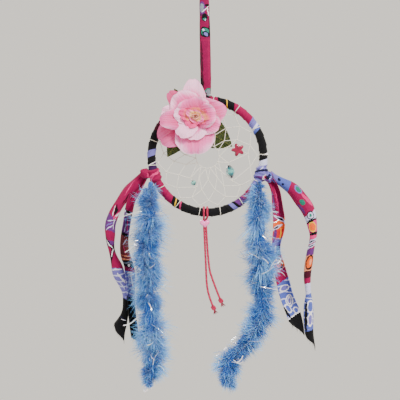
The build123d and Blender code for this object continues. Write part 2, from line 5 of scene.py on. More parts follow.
import bpy
import numpy as np
from mathutils import Matrix, Vector, noise
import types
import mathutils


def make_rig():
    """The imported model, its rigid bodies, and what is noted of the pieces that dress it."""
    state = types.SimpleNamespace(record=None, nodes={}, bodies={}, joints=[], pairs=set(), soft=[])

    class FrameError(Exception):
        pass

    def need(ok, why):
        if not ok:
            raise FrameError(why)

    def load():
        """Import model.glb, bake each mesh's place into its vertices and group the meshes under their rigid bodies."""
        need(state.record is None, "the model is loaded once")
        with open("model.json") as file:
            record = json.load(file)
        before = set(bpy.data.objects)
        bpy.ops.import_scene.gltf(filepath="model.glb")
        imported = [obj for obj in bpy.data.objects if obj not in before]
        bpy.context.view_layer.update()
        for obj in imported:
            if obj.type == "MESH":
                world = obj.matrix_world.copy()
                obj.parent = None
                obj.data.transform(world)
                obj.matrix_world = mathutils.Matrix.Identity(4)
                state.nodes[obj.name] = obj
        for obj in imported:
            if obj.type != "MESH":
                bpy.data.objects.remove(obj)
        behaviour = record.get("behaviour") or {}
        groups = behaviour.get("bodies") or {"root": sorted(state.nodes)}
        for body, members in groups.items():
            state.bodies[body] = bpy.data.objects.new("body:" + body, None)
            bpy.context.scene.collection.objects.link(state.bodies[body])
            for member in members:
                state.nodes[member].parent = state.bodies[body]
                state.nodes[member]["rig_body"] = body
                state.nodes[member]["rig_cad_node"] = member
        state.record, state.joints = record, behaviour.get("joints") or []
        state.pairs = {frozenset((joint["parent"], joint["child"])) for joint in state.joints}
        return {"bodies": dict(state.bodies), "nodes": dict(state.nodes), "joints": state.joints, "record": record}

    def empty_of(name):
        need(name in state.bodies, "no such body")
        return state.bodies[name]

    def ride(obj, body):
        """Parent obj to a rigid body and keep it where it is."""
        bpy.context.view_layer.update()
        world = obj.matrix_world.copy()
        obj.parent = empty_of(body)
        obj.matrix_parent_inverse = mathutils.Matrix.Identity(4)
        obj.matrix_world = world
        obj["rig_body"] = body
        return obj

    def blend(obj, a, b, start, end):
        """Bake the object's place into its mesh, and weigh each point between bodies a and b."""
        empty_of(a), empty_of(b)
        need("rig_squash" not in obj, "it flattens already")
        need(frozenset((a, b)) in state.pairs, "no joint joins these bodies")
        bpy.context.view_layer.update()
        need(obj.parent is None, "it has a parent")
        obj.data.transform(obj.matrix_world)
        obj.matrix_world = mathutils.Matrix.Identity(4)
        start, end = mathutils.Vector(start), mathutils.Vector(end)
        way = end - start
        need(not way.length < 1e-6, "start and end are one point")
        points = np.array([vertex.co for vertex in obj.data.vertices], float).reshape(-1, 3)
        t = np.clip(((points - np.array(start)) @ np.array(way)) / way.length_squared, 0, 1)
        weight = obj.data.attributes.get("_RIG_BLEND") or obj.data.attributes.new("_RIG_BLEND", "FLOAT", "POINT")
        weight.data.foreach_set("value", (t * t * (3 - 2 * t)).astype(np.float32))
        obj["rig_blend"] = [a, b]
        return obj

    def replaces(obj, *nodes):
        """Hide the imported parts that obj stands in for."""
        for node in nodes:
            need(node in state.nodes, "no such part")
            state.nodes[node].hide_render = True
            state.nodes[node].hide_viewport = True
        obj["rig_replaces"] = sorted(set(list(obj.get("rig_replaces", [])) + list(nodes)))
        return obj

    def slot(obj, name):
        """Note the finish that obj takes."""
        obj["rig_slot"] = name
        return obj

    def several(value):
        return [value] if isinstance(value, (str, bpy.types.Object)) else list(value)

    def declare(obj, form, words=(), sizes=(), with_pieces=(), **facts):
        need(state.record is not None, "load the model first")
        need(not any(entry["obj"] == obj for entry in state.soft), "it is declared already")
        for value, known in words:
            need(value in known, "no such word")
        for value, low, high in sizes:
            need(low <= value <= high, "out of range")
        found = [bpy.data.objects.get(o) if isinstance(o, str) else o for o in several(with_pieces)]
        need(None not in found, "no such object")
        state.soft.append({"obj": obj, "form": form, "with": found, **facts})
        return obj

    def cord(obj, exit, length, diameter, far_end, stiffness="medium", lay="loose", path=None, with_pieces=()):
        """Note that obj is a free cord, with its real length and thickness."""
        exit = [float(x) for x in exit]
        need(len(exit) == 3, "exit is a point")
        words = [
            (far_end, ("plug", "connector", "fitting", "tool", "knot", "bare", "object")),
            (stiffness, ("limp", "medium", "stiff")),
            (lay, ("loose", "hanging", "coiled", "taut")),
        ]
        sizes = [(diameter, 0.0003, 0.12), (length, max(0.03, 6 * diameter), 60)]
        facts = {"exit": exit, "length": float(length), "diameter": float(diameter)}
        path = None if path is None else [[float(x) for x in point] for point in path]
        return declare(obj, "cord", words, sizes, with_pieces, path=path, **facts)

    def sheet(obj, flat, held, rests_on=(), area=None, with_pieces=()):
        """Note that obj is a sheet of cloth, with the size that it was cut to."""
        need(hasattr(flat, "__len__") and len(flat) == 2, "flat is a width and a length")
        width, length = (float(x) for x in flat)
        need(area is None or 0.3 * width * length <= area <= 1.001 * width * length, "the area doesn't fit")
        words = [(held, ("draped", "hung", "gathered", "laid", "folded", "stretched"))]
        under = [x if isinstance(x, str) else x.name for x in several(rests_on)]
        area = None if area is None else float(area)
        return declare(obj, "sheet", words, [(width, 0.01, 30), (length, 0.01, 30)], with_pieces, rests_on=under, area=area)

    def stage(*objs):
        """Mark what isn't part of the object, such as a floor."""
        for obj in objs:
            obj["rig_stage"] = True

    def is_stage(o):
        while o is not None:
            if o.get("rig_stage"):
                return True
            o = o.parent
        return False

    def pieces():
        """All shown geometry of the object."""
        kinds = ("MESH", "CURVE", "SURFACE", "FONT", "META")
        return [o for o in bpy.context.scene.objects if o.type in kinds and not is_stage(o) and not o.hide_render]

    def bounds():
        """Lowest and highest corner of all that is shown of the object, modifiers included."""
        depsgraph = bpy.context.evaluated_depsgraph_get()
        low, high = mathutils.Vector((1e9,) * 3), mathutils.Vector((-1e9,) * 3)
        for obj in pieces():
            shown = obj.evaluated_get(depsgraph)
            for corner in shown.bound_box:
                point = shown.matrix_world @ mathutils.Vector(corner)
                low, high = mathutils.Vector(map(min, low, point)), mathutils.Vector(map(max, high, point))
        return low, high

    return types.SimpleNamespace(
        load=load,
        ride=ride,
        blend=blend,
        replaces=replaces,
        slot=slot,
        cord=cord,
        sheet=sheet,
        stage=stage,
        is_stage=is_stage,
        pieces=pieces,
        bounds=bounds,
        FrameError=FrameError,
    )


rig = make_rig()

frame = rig.load()
cad_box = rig.bounds()
scene = bpy.context.scene

MM = 0.001
HOOP = np.array((0.0, 0.0, -0.1815))
HOOP_RADIUS = 0.056
WRAP_RADIUS = 0.0045


# ---- Camera ----
VIEW_CENTRE = Vector((-0.0083, 0.0, -0.2249))
VIEW_DISTANCE = 1.1
VIEW_WIDTH = 0.4
VIEW_ROLL = math.radians(1.1)
SENSOR_WIDTH = 36.0

camera_data = bpy.data.cameras.new("camera")
camera_data.sensor_width = SENSOR_WIDTH
camera_data.lens = SENSOR_WIDTH * VIEW_DISTANCE / VIEW_WIDTH
camera = bpy.data.objects.new("camera", camera_data)
scene.collection.objects.link(camera)
camera.matrix_world = (
    Matrix.Translation(VIEW_CENTRE + Vector((0, -VIEW_DISTANCE, 0)))
    @ Matrix.Rotation(VIEW_ROLL, 4, "Y")
    @ Matrix.Rotation(math.radians(90), 4, "X")
)
scene.camera = camera


# ---- Colours ----
def rgb(red, green, blue):
    """A display colour, 0 to 255, as the linear colour that shaders take."""
    out = []
    for value in (red, green, blue):
        share = value / 255
        out.append(share / 12.92 if share <= 0.04045 else ((share + 0.055) / 1.055) ** 2.4)
    return tuple(out)


CLOTH = {
    "magenta": rgb(150, 4, 72),
    "crimson": rgb(134, 4, 68),
    "pink": rgb(222, 52, 122),
    "maroon": rgb(70, 10, 34),
    "rust": rgb(122, 52, 56),
    "purple": rgb(98, 44, 116),
    "plum": rgb(56, 26, 74),
    "lilac": rgb(116, 110, 186),
    "blue": rgb(84, 98, 182),
    "pale": rgb(206, 206, 238),
    "white": rgb(244, 238, 242),
    "black": rgb(12, 11, 15),
    "navy": rgb(24, 26, 60),
    "orange": rgb(238, 96, 30),
    "red": rgb(218, 44, 44),
    "yellow": rgb(240, 190, 40),
    "peach": rgb(244, 150, 112),
    "teal": rgb(36, 122, 102),
    "grey": rgb(128, 138, 150),
}


# ---- Node trees ----
class Value:
    """A value in a node tree. Sums, products and comparisons of values become Math nodes."""

    def __init__(self, finish, socket):
        self.finish, self.socket = finish, socket

    def __add__(self, other):
        return self.finish.math("ADD", self, other)

    def __sub__(self, other):
        return self.finish.math("SUBTRACT", self, other)

    def __mul__(self, other):
        return self.finish.math("MULTIPLY", self, other)

    def __truediv__(self, other):
        return self.finish.math("DIVIDE", self, other)

    def __lt__(self, other):
        return self.finish.math("LESS_THAN", self, other)

    def __gt__(self, other):
        return self.finish.math("GREATER_THAN", self, other)

    def __abs__(self):
        return self.finish.math("ABSOLUTE", self)


class Finish:
    """One material's node tree, built call by call. Constant values go straight onto the shader."""

    def __init__(self, name, **shader_values):
        self.material = bpy.data.materials.new(name)
        self.material.use_nodes = True
        self.tree = self.material.node_tree
        self.tree.nodes.clear()
        self.shader = self.add("BsdfPrincipled")
        output = self.add("OutputMaterial")
        self.tree.links.new(self.shader.outputs[0], output.inputs[0])
        for key, value in shader_values.items():
            self.put(self.shader.inputs[key.replace("_", " ")], value)

    def put(self, socket, value):
        if isinstance(value, Value):
            self.tree.links.new(value.socket, socket)
        elif isinstance(value, tuple) and len(value) == 3 and socket.type == "RGBA":
            socket.default_value = (*value, 1.0)
        else:
            socket.default_value = value

    def add(self, kind, inputs=None, **settings):
        node = self.tree.nodes.new("ShaderNode" + kind)
        for key, value in settings.items():
            setattr(node, key, value)
        for key, value in (inputs or {}).items():
            self.put(node.inputs[key], value)
        return node

    def take(self, kind, inputs=None, output=0, **settings):
        """Adds a node and gives one of its outputs."""
        return Value(self, self.add(kind, inputs, **settings).outputs[output])

    def place(self):
        """Object coordinates, in metres."""
        return self.take("TexCoord", output="Object")

    def attribute(self, name, output="Vector"):
        return self.take("Attribute", output=output, attribute_name=name)

    def parts(self, vector):
        return [Value(self, socket) for socket in self.add("SeparateXYZ", {0: vector}).outputs]

    def math(self, operation, a, b=0.0):
        return self.take("Math", {0: a, 1: b}, operation=operation)

    def vector(self, operation, a, b=(0.0, 0.0, 0.0), output="Vector"):
        return self.take("VectorMath", {0: a, 1: b}, output, operation=operation)

    def scaled(self, vector, x, y, z):
        return self.take("Mapping", {"Vector": vector, "Scale": (x, y, z)})

    def mix(self, factor, a, b, blend="MIX"):
        return self.take("Mix", {0: factor, 6: a, 7: b}, 2, data_type="RGBA", blend_type=blend)

    def ramp(self, factor, stops, mode="LINEAR"):
        """A colour ramp. Each stop is a position from 0 to 1 and a colour or a grey level."""
        node = self.add("ValToRGB", {"Fac": factor})
        node.color_ramp.interpolation = mode
        elements = node.color_ramp.elements
        while len(elements) < len(stops):
            elements.new(0.5)
        for element, (position, colour) in zip(elements, sorted(stops, key=lambda stop: stop[0])):
            element.position = position
            element.color = (*(colour if isinstance(colour, tuple) else [colour] * 3), 1.0)
        return Value(self, node.outputs["Color"])

    def between(self, noise, low, high):
        """From one value to another over the range in which noise mostly lies."""
        return self.ramp(noise, [(0.3, low), (0.7, high)])

    def noise(self, vector, scale, detail=3.0, roughness=0.5, distortion=0.0):
        return self.take("TexNoise", {
            "Vector": vector, "Scale": scale, "Detail": detail, "Roughness": roughness,
            "Distortion": distortion,
        }, "Fac")

    def bump(self, height, distance, strength=1.0, normal=None):
        inputs = {"Height": height, "Distance": distance, "Strength": strength}
        if normal is not None:
            inputs["Normal"] = normal
        return self.take("Bump", inputs)

    def surface(self, colour, roughness, normal):
        for socket, value in (("Base Color", colour), ("Roughness", roughness), ("Normal", normal)):
            self.put(self.shader.inputs[socket], value)
        return self.material


# ---- Meshes ----
def add_mesh(name, points, faces, material, strip=None, shade=None, smooth=True):
    """A mesh object in the shared frame.

    strip is a vector for each face corner, and shade a number for each point."""
    mesh = bpy.data.meshes.new(name)
    mesh.from_pydata([tuple(map(float, p)) for p in points], [], faces)
    mesh.materials.append(material)
    if strip is not None:
        layer = mesh.attributes.new("strip", "FLOAT_VECTOR", "CORNER")
        layer.data.foreach_set("vector", np.asarray(strip, np.float32).ravel())
    if shade is not None:
        layer = mesh.attributes.new("shade", "FLOAT", "POINT")
        layer.data.foreach_set("value", np.asarray(shade, np.float32).ravel())
    mesh.polygons.foreach_set("use_smooth", [smooth] * len(mesh.polygons))
    mesh.update()
    piece = bpy.data.objects.new(name, mesh)
    scene.collection.objects.link(piece)
    return piece


def grid(points, strip=None, close_rows=False, close_columns=False, start=0):
    """Faces and face-corner values of a grid of rows and columns of points.

    strip has one more row or column than the points where the grid closes on itself."""
    rows, columns = points.shape[:2]
    faces, corners = [], []
    for i in range(rows if close_rows else rows - 1):
        for j in range(columns if close_columns else columns - 1):
            places = ((i, j), (i, j + 1), (i + 1, j + 1), (i + 1, j))
            faces.append([start + (a % rows) * columns + b % columns for a, b in places])
            if strip is not None:
                corners += [strip[a, b] for a, b in places]
    return faces, corners


def filled_grid(rows, columns, place, closed=False):
    """Points and strip values of a grid: place(i, j) gives both for a row and a column.

    Where the grid closes both ways, strip has one more row and column, so that its values don't jump."""
    extra = int(closed)
    points, strip = np.zeros((rows, columns, 3)), np.zeros((rows + extra, columns + extra, 3))
    for i in range(rows + extra):
        for j in range(columns + extra):
            point, strip[i, j] = place(i, j)
            if i < rows and j < columns:
                points[i, j] = point
    return points, strip


def grid_piece(name, points, material, strip=None, close_rows=False, close_columns=False, caps=False):
    """A mesh object made of one grid, its open ends closed with a fan where asked."""
    faces, corners = grid(points, strip, close_rows, close_columns)
    flat = points.reshape(-1, 3)
    if caps:
        rows, columns = points.shape[:2]
        for row, order in ((0, -1), (rows - 1, 1)):
            flat = np.vstack([flat, points[row].mean(axis=0)])
            middle = len(flat) - 1
            for j in range(columns):
                pair = (row * columns + j, row * columns + (j + 1) % columns)[::order]
                faces.append([middle, *pair])
                if strip is not None:
                    corners += [strip[row, j]] * 3
    return add_mesh(name, flat, faces, material, corners if strip is not None else None)


def unit(vectors):
    return vectors / (np.linalg.norm(vectors, axis=-1, keepdims=True) + 1e-12)


def lengths_along(line):
    """How far along the line each of its points is."""
    return np.concatenate([[0.0], np.cumsum(np.linalg.norm(np.diff(line, axis=0), axis=1))])


def resample(line, count):
    """The same line with evenly spaced points."""
    along = lengths_along(line)
    wanted = np.linspace(0, along[-1], count)
    return np.stack([np.interp(wanted, along, line[:, k]) for k in range(3)], axis=1)


def side_frames(line, side):
    """Two directions across a line at each point, carried along it without twisting."""
    tangents = unit(np.gradient(line, axis=0))
    current = np.cross(tangents[0], np.asarray(side, float))
    if np.linalg.norm(current) < 1e-6:
        current = np.cross(tangents[0], (1.0, 0.0, 0.0))
    ones, twos = [], []
    for tangent in tangents:
        current = unit(current - tangent * np.dot(current, tangent))
        ones.append(current)
        twos.append(np.cross(tangent, current))
    return np.array(ones), np.array(twos)


def swept(line, section, side=(0.0, 0.0, 1.0)):
    """Points of a tube along a line. section(share) gives its outline's offsets there, in metres."""
    ones, twos = side_frames(line, side)
    rings = []
    for i, point in enumerate(line):
        outline = np.asarray(section(i / (len(line) - 1)))
        rings.append(point + outline[:, :1] * ones[i] + outline[:, 1:] * twos[i])
    return np.array(rings)


def evened(values, span):
    """Running means over a span of neighbours."""
    return np.convolve(np.pad(values, span // 2, mode="edge"), np.ones(span) / span, mode="valid")


def pick(values, at):
    """The value at a row number that need not be whole."""
    k = min(int(at), len(values) - 2)
    mixed = at - k
    return values[k] * (1 - mixed) + values[k + 1] * mixed


def facing(degrees):
    """Outwards and sideways in the plane that faces forward, for an angle anticlockwise from +X."""
    turn = math.radians(degrees)
    return np.array((math.cos(turn), 0.0, math.sin(turn))), np.array((-math.sin(turn), 0.0, math.cos(turn)))


def circle(radius, sides, phase=0.0):
    """The corners of a regular outline, in its own plane."""
    turns = np.arange(sides) * 2 * math.pi / sides + phase
    return np.stack([radius * np.cos(turns), radius * np.sin(turns)], axis=1)


def smooth(share):
    """0 to 1, with level ends."""
    share = np.clip(share, 0, 1)
    return share * share * (3 - 2 * share)


def wobble(seed, *place):
    """Smooth noise, about -1 to 1, at a place."""
    padded = (list(place) + [0.0, 0.0])[:3]
    return noise.noise(Vector(padded) + Vector((seed * 17.3, seed * 5.1, 0.0)))


def finish_piece(piece, body, slot, *replaced):
    """Puts a piece on its body, with its material slot and the CAD nodes that it stands for."""
    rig.ride(piece, body)
    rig.slot(piece, slot)
    if replaced:
        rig.replaces(piece, *replaced)
    return piece


# ---- Materials ----
THREADS_PER_MM = 2.4
WEAVE_DEPTH = 0.00012
VEIN_GAP, VEIN_SLANT = 4.2, 0.55


def print_cloth(name, length, bands, patches=(), swirls=(), slant=0.0, seed=0.0, spread=1.0):
    """Printed jersey. strip's x runs across the cloth and y along it, in millimetres.

    bands are (where it starts, colour name), and swirls the stretches with fine curling lines. Each patch is
    its middle across and along, its half sizes, its turn in degrees, its colour and, if it has an outline,
    that one's colour. slant leans the bands, and spread is the size of their uneven edges."""
    finish = Finish(name, Sheen_Weight=0.06, Sheen_Roughness=0.5, Specular_IOR_Level=0.14)
    strip = finish.attribute("strip")
    across, along, _ = finish.parts(strip)
    moved = finish.vector("ADD", strip, (seed, seed * 0.7, seed))
    warp = (finish.noise(moved, 0.16 / spread, 2.0) - 0.5) * (7.0 * spread)
    fine = (finish.noise(moved, 0.7, 2.0) - 0.5) * 1.2
    share = ((along + warp) + (across * slant + fine)) / length
    colour = finish.ramp(share, [(start / length, CLOTH[colour]) for start, colour in bands], "CONSTANT")

    if swirls:
        stops = [(0.0, 0.0)]
        for start, end in swirls:
            stops += [(start / length, 1.0), (end / length, 0.0)]
        curls = finish.take("TexWave", {
            "Vector": finish.scaled(moved, 0.028 / spread, 0.02 / spread, 0.03), "Scale": 1.0,
            "Distortion": 5.0, "Detail": 1.0, "Detail Scale": 0.9,
        }, "Fac", wave_type="RINGS", rings_direction="SPHERICAL")
        line = (curls > 0.9) * finish.ramp(share, stops, "CONSTANT")
        colour = finish.mix(line, colour, CLOTH["pale"])

    # Drawn shapes, their edges a little uneven.
    uneven = finish.take("TexNoise", {"Vector": moved, "Scale": 0.35, "Detail": 2.0}, "Color")
    uneven = finish.vector("SUBTRACT", uneven, (0.5, 0.5, 0.5))
    drawn = finish.vector("ADD", strip, finish.vector("MULTIPLY", uneven, (2.2, 2.2, 0.0)))
    for x, y, wide, tall, turn, fill, *outline in patches:
        place = finish.take("Mapping", {
            "Vector": drawn, "Location": (x, y, 0.0), "Rotation": (0.0, 0.0, math.radians(turn)),
            "Scale": (wide, tall, 1.0),
        }, vector_type="TEXTURE")
        reach = finish.vector("LENGTH", place, output="Value")
        if outline:
            colour = finish.mix(reach < 1 + 0.9 / min(wide, tall), colour, CLOTH[outline[0]])
        colour = finish.mix(reach < 1.0, colour, CLOTH[fill])

    turn = 2 * math.pi * THREADS_PER_MM
    weave = finish.math("SINE", across * turn) * finish.math("SINE", along * turn) * 0.5
    fuzz = finish.noise(strip, 3.0, 4.0, 0.7)
    shade = finish.ramp(weave * 0.3 + fuzz, [(0.25, 0.8), (0.75, 1.06)])
    colour = finish.mix(1.0, colour, shade, "MULTIPLY")
    return finish.surface(colour, finish.between(fuzz, 0.72, 0.95), finish.bump(weave + fuzz, WEAVE_DEPTH))


def silk_petal(name, heel, middle, edge, rim):
    """Petal cloth, coloured from its heel to its rim, with fine pressed veins and a soft gloss.

    strip's x runs across from -1 to 1, its y from 0 at the heel to 1 at the rim; z is each petal's shade."""
    finish = Finish(
        name, Sheen_Weight=0.1, Sheen_Roughness=0.35, Subsurface_Weight=0.18, Subsurface_Scale=0.004,
        Specular_IOR_Level=0.2,
    )
    finish.put(finish.shader.inputs["Subsurface Radius"], (1.0, 0.5, 0.45))
    strip = finish.attribute("strip")
    across, along, own = finish.parts(strip)
    streaks = finish.noise(finish.scaled(strip, 9.0, 0.9, 7.0), 1.0, 4.0, 0.6)
    clouds = finish.noise(finish.scaled(strip, 1.2, 1.3, 5.0), 1.0, 2.0)
    place = along + abs(across) * 0.16 + (clouds - 0.5) * 0.5 + (streaks - 0.5) * 0.28 + own * 0.8
    colour = finish.ramp(place, [(0.06, heel), (0.4, middle), (0.8, edge), (1.0, rim)])
    colour = finish.mix(finish.ramp(streaks, [(0.4, 0.0), (0.8, 0.2)]), colour, rim)
    # Petals with a low own shade are darkened: partly their dusty tone, partly painted shade for petals that lie in
    # shadow.
    dusty_tone_and_painted_shade = finish.ramp(own + 0.6, [(0.0, 0.66), (0.45, 0.94), (0.8, 1.0)])
    colour = finish.mix(1.0, colour, dusty_tone_and_painted_shade, "MULTIPLY")
    veins = finish.math("SINE", across * 34.0) * finish.math("SUBTRACT", 1.0, along * 0.6)
    threads = finish.noise(finish.place(), 2600.0, 2.0, 0.8)
    normal = finish.bump(threads, 0.00004, 0.6, finish.bump(veins * 0.35 + streaks, 0.0005, 0.8))
    return finish.surface(colour, finish.between(streaks, 0.5, 0.72), normal)


def leaf_cloth():
    """Dark pressed cloth. strip's x is how far from the midrib, y how far from the heel, in millimetres."""
    finish = Finish("leaf_silk", Sheen_Weight=0.05, Specular_IOR_Level=0.2, Subsurface_Weight=0.05)
    strip = finish.attribute("strip")
    across, along, _ = finish.parts(strip)
    # Side veins leave the midrib at a slant.
    veins = finish.math("SINE", (along - abs(across) * VEIN_SLANT) * (2 * math.pi / VEIN_GAP))
    ribs = finish.math("POWER", finish.math("MAXIMUM", veins, 0.0), 10.0)
    lines = finish.math("MAXIMUM", ribs, abs(across) < 0.35)
    blotch = finish.noise(strip, 0.25, 4.0, 0.6)
    colour = finish.ramp(blotch, [(0.3, rgb(16, 26, 8)), (0.55, rgb(34, 46, 16)), (0.8, rgb(58, 68, 28))])
    colour = finish.mix(lines * 0.45, colour, rgb(82, 90, 46))
    mesh = finish.noise(finish.place(), 3000.0, 2.0, 0.8)
    normal = finish.bump(mesh, 0.00004, 0.5, finish.bump(lines, 0.0004, 0.9))
    return finish.surface(colour, finish.between(blotch, 0.5, 0.75), normal)


def boa_down(name, deep, middle, pale):
    """Down, by each strand's own shade: 0 at the string, 1 at the tip."""
    finish = Finish(
        name, Roughness=0.85, Sheen_Weight=0.6, Sheen_Roughness=0.4, Specular_IOR_Level=0.15,
        Subsurface_Weight=0.25, Subsurface_Scale=0.003,
    )
    clumps = finish.noise(finish.place(), 130.0, 3.0, 0.6)
    place = finish.attribute("shade", "Fac") + (clumps - 0.5) * 0.5
    colour = finish.ramp(place, [(0.0, deep), (0.45, middle), (0.95, pale)])
    fibre = finish.noise(finish.place(), 4000.0, 2.0, 0.7)
    return finish.surface(colour, finish.between(fibre, 0.7, 0.95), finish.bump(fibre, 0.00003, 0.6))


def tinsel_film():
    """Thin mirror film: silver with faint rainbow patches, crinkled."""
    finish = Finish(
        "tinsel_film", Metallic=0.65, Specular_IOR_Level=0.8, Coat_Weight=0.6, Coat_Roughness=0.08,
    )
    patches = finish.noise(finish.place(), 220.0, 2.0)
    colour = finish.ramp(patches, [
        (0.25, rgb(235, 240, 250)), (0.4, rgb(214, 238, 255)), (0.5, rgb(250, 244, 252)),
        (0.58, rgb(250, 238, 250)), (0.66, rgb(246, 250, 225)), (0.78, rgb(226, 240, 255)),
    ])
    crinkle = finish.noise(finish.place(), 900.0, 3.0, 0.6)
    return finish.surface(colour, finish.between(crinkle, 0.06, 0.2), finish.bump(crinkle, 0.0002, 0.7))


def waxed_thread(name, pale, dark, twists, sheen=0.3):
    """A twisted cord. strip's x is the turn round it, 0 to 1, and y the length along it in millimetres."""
    finish = Finish(name, Sheen_Weight=sheen, Specular_IOR_Level=0.35)
    around, along, _ = finish.parts(finish.attribute("strip"))
    spiral = around * 2.0 + along * twists
    fibres = finish.math("SINE", spiral * (2 * math.pi * 5))
    ply = abs(finish.math("SINE", spiral * math.pi))
    fuzz = finish.noise(finish.place(), 3500.0, 3.0, 0.7)
    colour = finish.ramp(ply * 0.8 + fuzz * 0.4, [(0.15, dark), (0.75, pale)])
    return finish.surface(
        colour, finish.between(fuzz, 0.55, 0.85), finish.bump(fibres * 0.3 + fuzz, 0.00008, 0.7)
    )


def cast_bead(name, colour, deep, grain, **shader_values):
    """Moulded acrylic with cloudy colour and fine surface scratches."""
    finish = Finish(name, **shader_values)
    cloud = finish.noise(finish.place(), grain, 3.0, 0.55)
    scratches = finish.noise(finish.scaled(finish.place(), 2500.0, 400.0, 2500.0), 1.0, 3.0, 0.7)
    rough = finish.ramp(scratches, [(0.35, 0.08), (0.75, 0.3)])
    return finish.surface(finish.between(cloud, deep, colour), rough, finish.bump(scratches, 0.00002, 0.4))


def banded_bead(name, centre, axis, half, end_colour, middle_colour, pale):
    """A faceted bead, dark at both bored ends and clear in the middle."""
    finish = Finish(
        name, Transmission_Weight=0.35, IOR=1.5, Specular_IOR_Level=0.7, Coat_Weight=0.5, Coat_Roughness=0.05,
    )
    place = finish.place()
    offset = finish.vector("SUBTRACT", place, tuple(centre))
    along = finish.vector("DOT_PRODUCT", offset, tuple(axis), "Value")
    cloud = finish.noise(place, 500.0, 3.0)
    reach = abs(along) / half + (cloud - 0.5) * 0.35
    colour = finish.ramp(reach, [(0.1, pale), (0.4, middle_colour), (0.8, end_colour)])
    return finish.surface(colour, finish.between(cloud, 0.05, 0.2), finish.bump(cloud, 0.00005, 0.3))


def drawn_wire():
    """Bare steel wire, streaked along its length."""
    finish = Finish("hoop_wire", Metallic=1.0)
    streaks = finish.noise(finish.scaled(finish.place(), 900.0, 900.0, 120.0), 1.0, 4.0, 0.6)
    colour = finish.between(streaks, rgb(120, 122, 126), rgb(188, 190, 194))
    return finish.surface(colour, finish.between(streaks, 0.25, 0.5), finish.bump(streaks, 0.00005, 0.5))


def moulded(name, pale, deep, scale, **shader_values):
    """Plain moulded plastic or set glue, with flow marks and small pits."""
    finish = Finish(name, **shader_values)
    marks = finish.noise(finish.place(), scale, 4.0, 0.6, 0.6)
    pits = finish.noise(finish.place(), scale * 6, 2.0, 0.7)
    normal = finish.bump(pits, 0.0001, 0.5, finish.bump(marks, 0.0002, 0.4))
    return finish.surface(finish.between(marks, deep, pale), finish.between(pits, 0.3, 0.6), normal)


def shade_nodes(material, *names):
    """Gives CAD nodes their material."""
    for name in names:
        mesh = frame["nodes"][name].data
        mesh.materials.clear()
        mesh.materials.append(material)


# ---- Cords ----
ROUTE_STEP, FEWEST_STEPS = 0.0004, 24


def route_line(route):
    """Evenly spaced points of the smooth line that has the route's points as its NURBS control points."""
    data = bpy.data.curves.new("guide", "CURVE")
    data.dimensions = "3D"
    data.resolution_u = 16
    spline = data.splines.new("NURBS")
    spline.points.add(len(route) - 1)
    for point, place in zip(spline.points, route):
        point.co = (*place, 1.0)
    spline.order_u = 3
    spline.use_endpoint_u = True
    guide = bpy.data.objects.new("guide", data)
    scene.collection.objects.link(guide)
    bpy.context.view_layer.update()
    mesh = bpy.data.meshes.new_from_object(guide)
    line = np.array([vertex.co for vertex in mesh.vertices], float)
    bpy.data.objects.remove(guide)
    bpy.data.curves.remove(data)
    bpy.data.meshes.remove(mesh)
    return resample(line, max(FEWEST_STEPS, int(lengths_along(line)[-1] / ROUTE_STEP)))


LEFT_BOA = [
    (-0.057, -0.009, -0.206),
    (-0.058, -0.0165, -0.228),
    (-0.060, -0.018, -0.258),
    (-0.065, -0.0175, -0.298),
    (-0.061, -0.018, -0.340),
    (-0.0555, -0.0175, -0.374),
    (-0.062, -0.018, -0.403),
]
RIGHT_BOA = [
    (0.0505, -0.009, -0.208),
    (0.0495, -0.0165, -0.230),
    (0.0495, -0.018, -0.262),
    (0.0525, -0.0175, -0.305),
    (0.047, -0.018, -0.340),
    (0.029, -0.0175, -0.366),
    (0.012, -0.018, -0.386),
    (0.0135, -0.0175, -0.404),
]
LEFT_STRAND = [
    (-0.00505, 0.0, -0.2442),
    (-0.0036, 0.0, -0.291),
    (-0.0033, 0.0, -0.311),
    (-0.0004, 0.0, -0.324),
    (0.0032, 0.0, -0.333),
]
RIGHT_STRAND = [
    (-0.00295, 0.0, -0.2442),
    (-0.0015, 0.0, -0.291),
    (0.0028, 0.0, -0.305),
    (0.0079, 0.0, -0.3195),
    (0.0106, 0.0, -0.326),
]
STRING_DIAMETER, STRING_LAY = 0.002, 0.006
TASSEL_DIAMETER, TASSEL_LAY = 0.002, 0.0055


def twisted_section(radius, plies, turns, sides):
    """The outline of a cord laid up from plies that make that many turns over its length."""

    def section(share):
        outline = circle(1.0, sides)
        around = np.arange(sides) * 2 * math.pi / sides
        lobes = np.abs(np.cos((around - share * turns * 2 * math.pi) * plies / 2))
        return outline * (radius * (0.85 + 0.23 * np.sqrt(lobes)))[:, None]

    return section


def cord_strip(line, sides):
    """strip for a cord: the turn round it, 0 to 1, and the length along it in millimetres."""
    strip = np.zeros((len(line), sides + 1, 3))
    strip[:, :, 0] = np.linspace(0, 1, sides + 1)[None, :]
    strip[:, :, 1] = (lengths_along(line) / MM)[:, None]
    return strip


def twisted_cord(name, line, diameter, lay, material):
    """A mesh cord along a line, its two plies making one turn in each lay's length."""
    plies, sides = 2, 16
    length = lengths_along(line)[-1]
    points = swept(line, twisted_section(diameter / 2, plies, length / lay, sides))
    return grid_piece(name, points, material, cord_strip(line, sides), close_columns=True, caps=True)


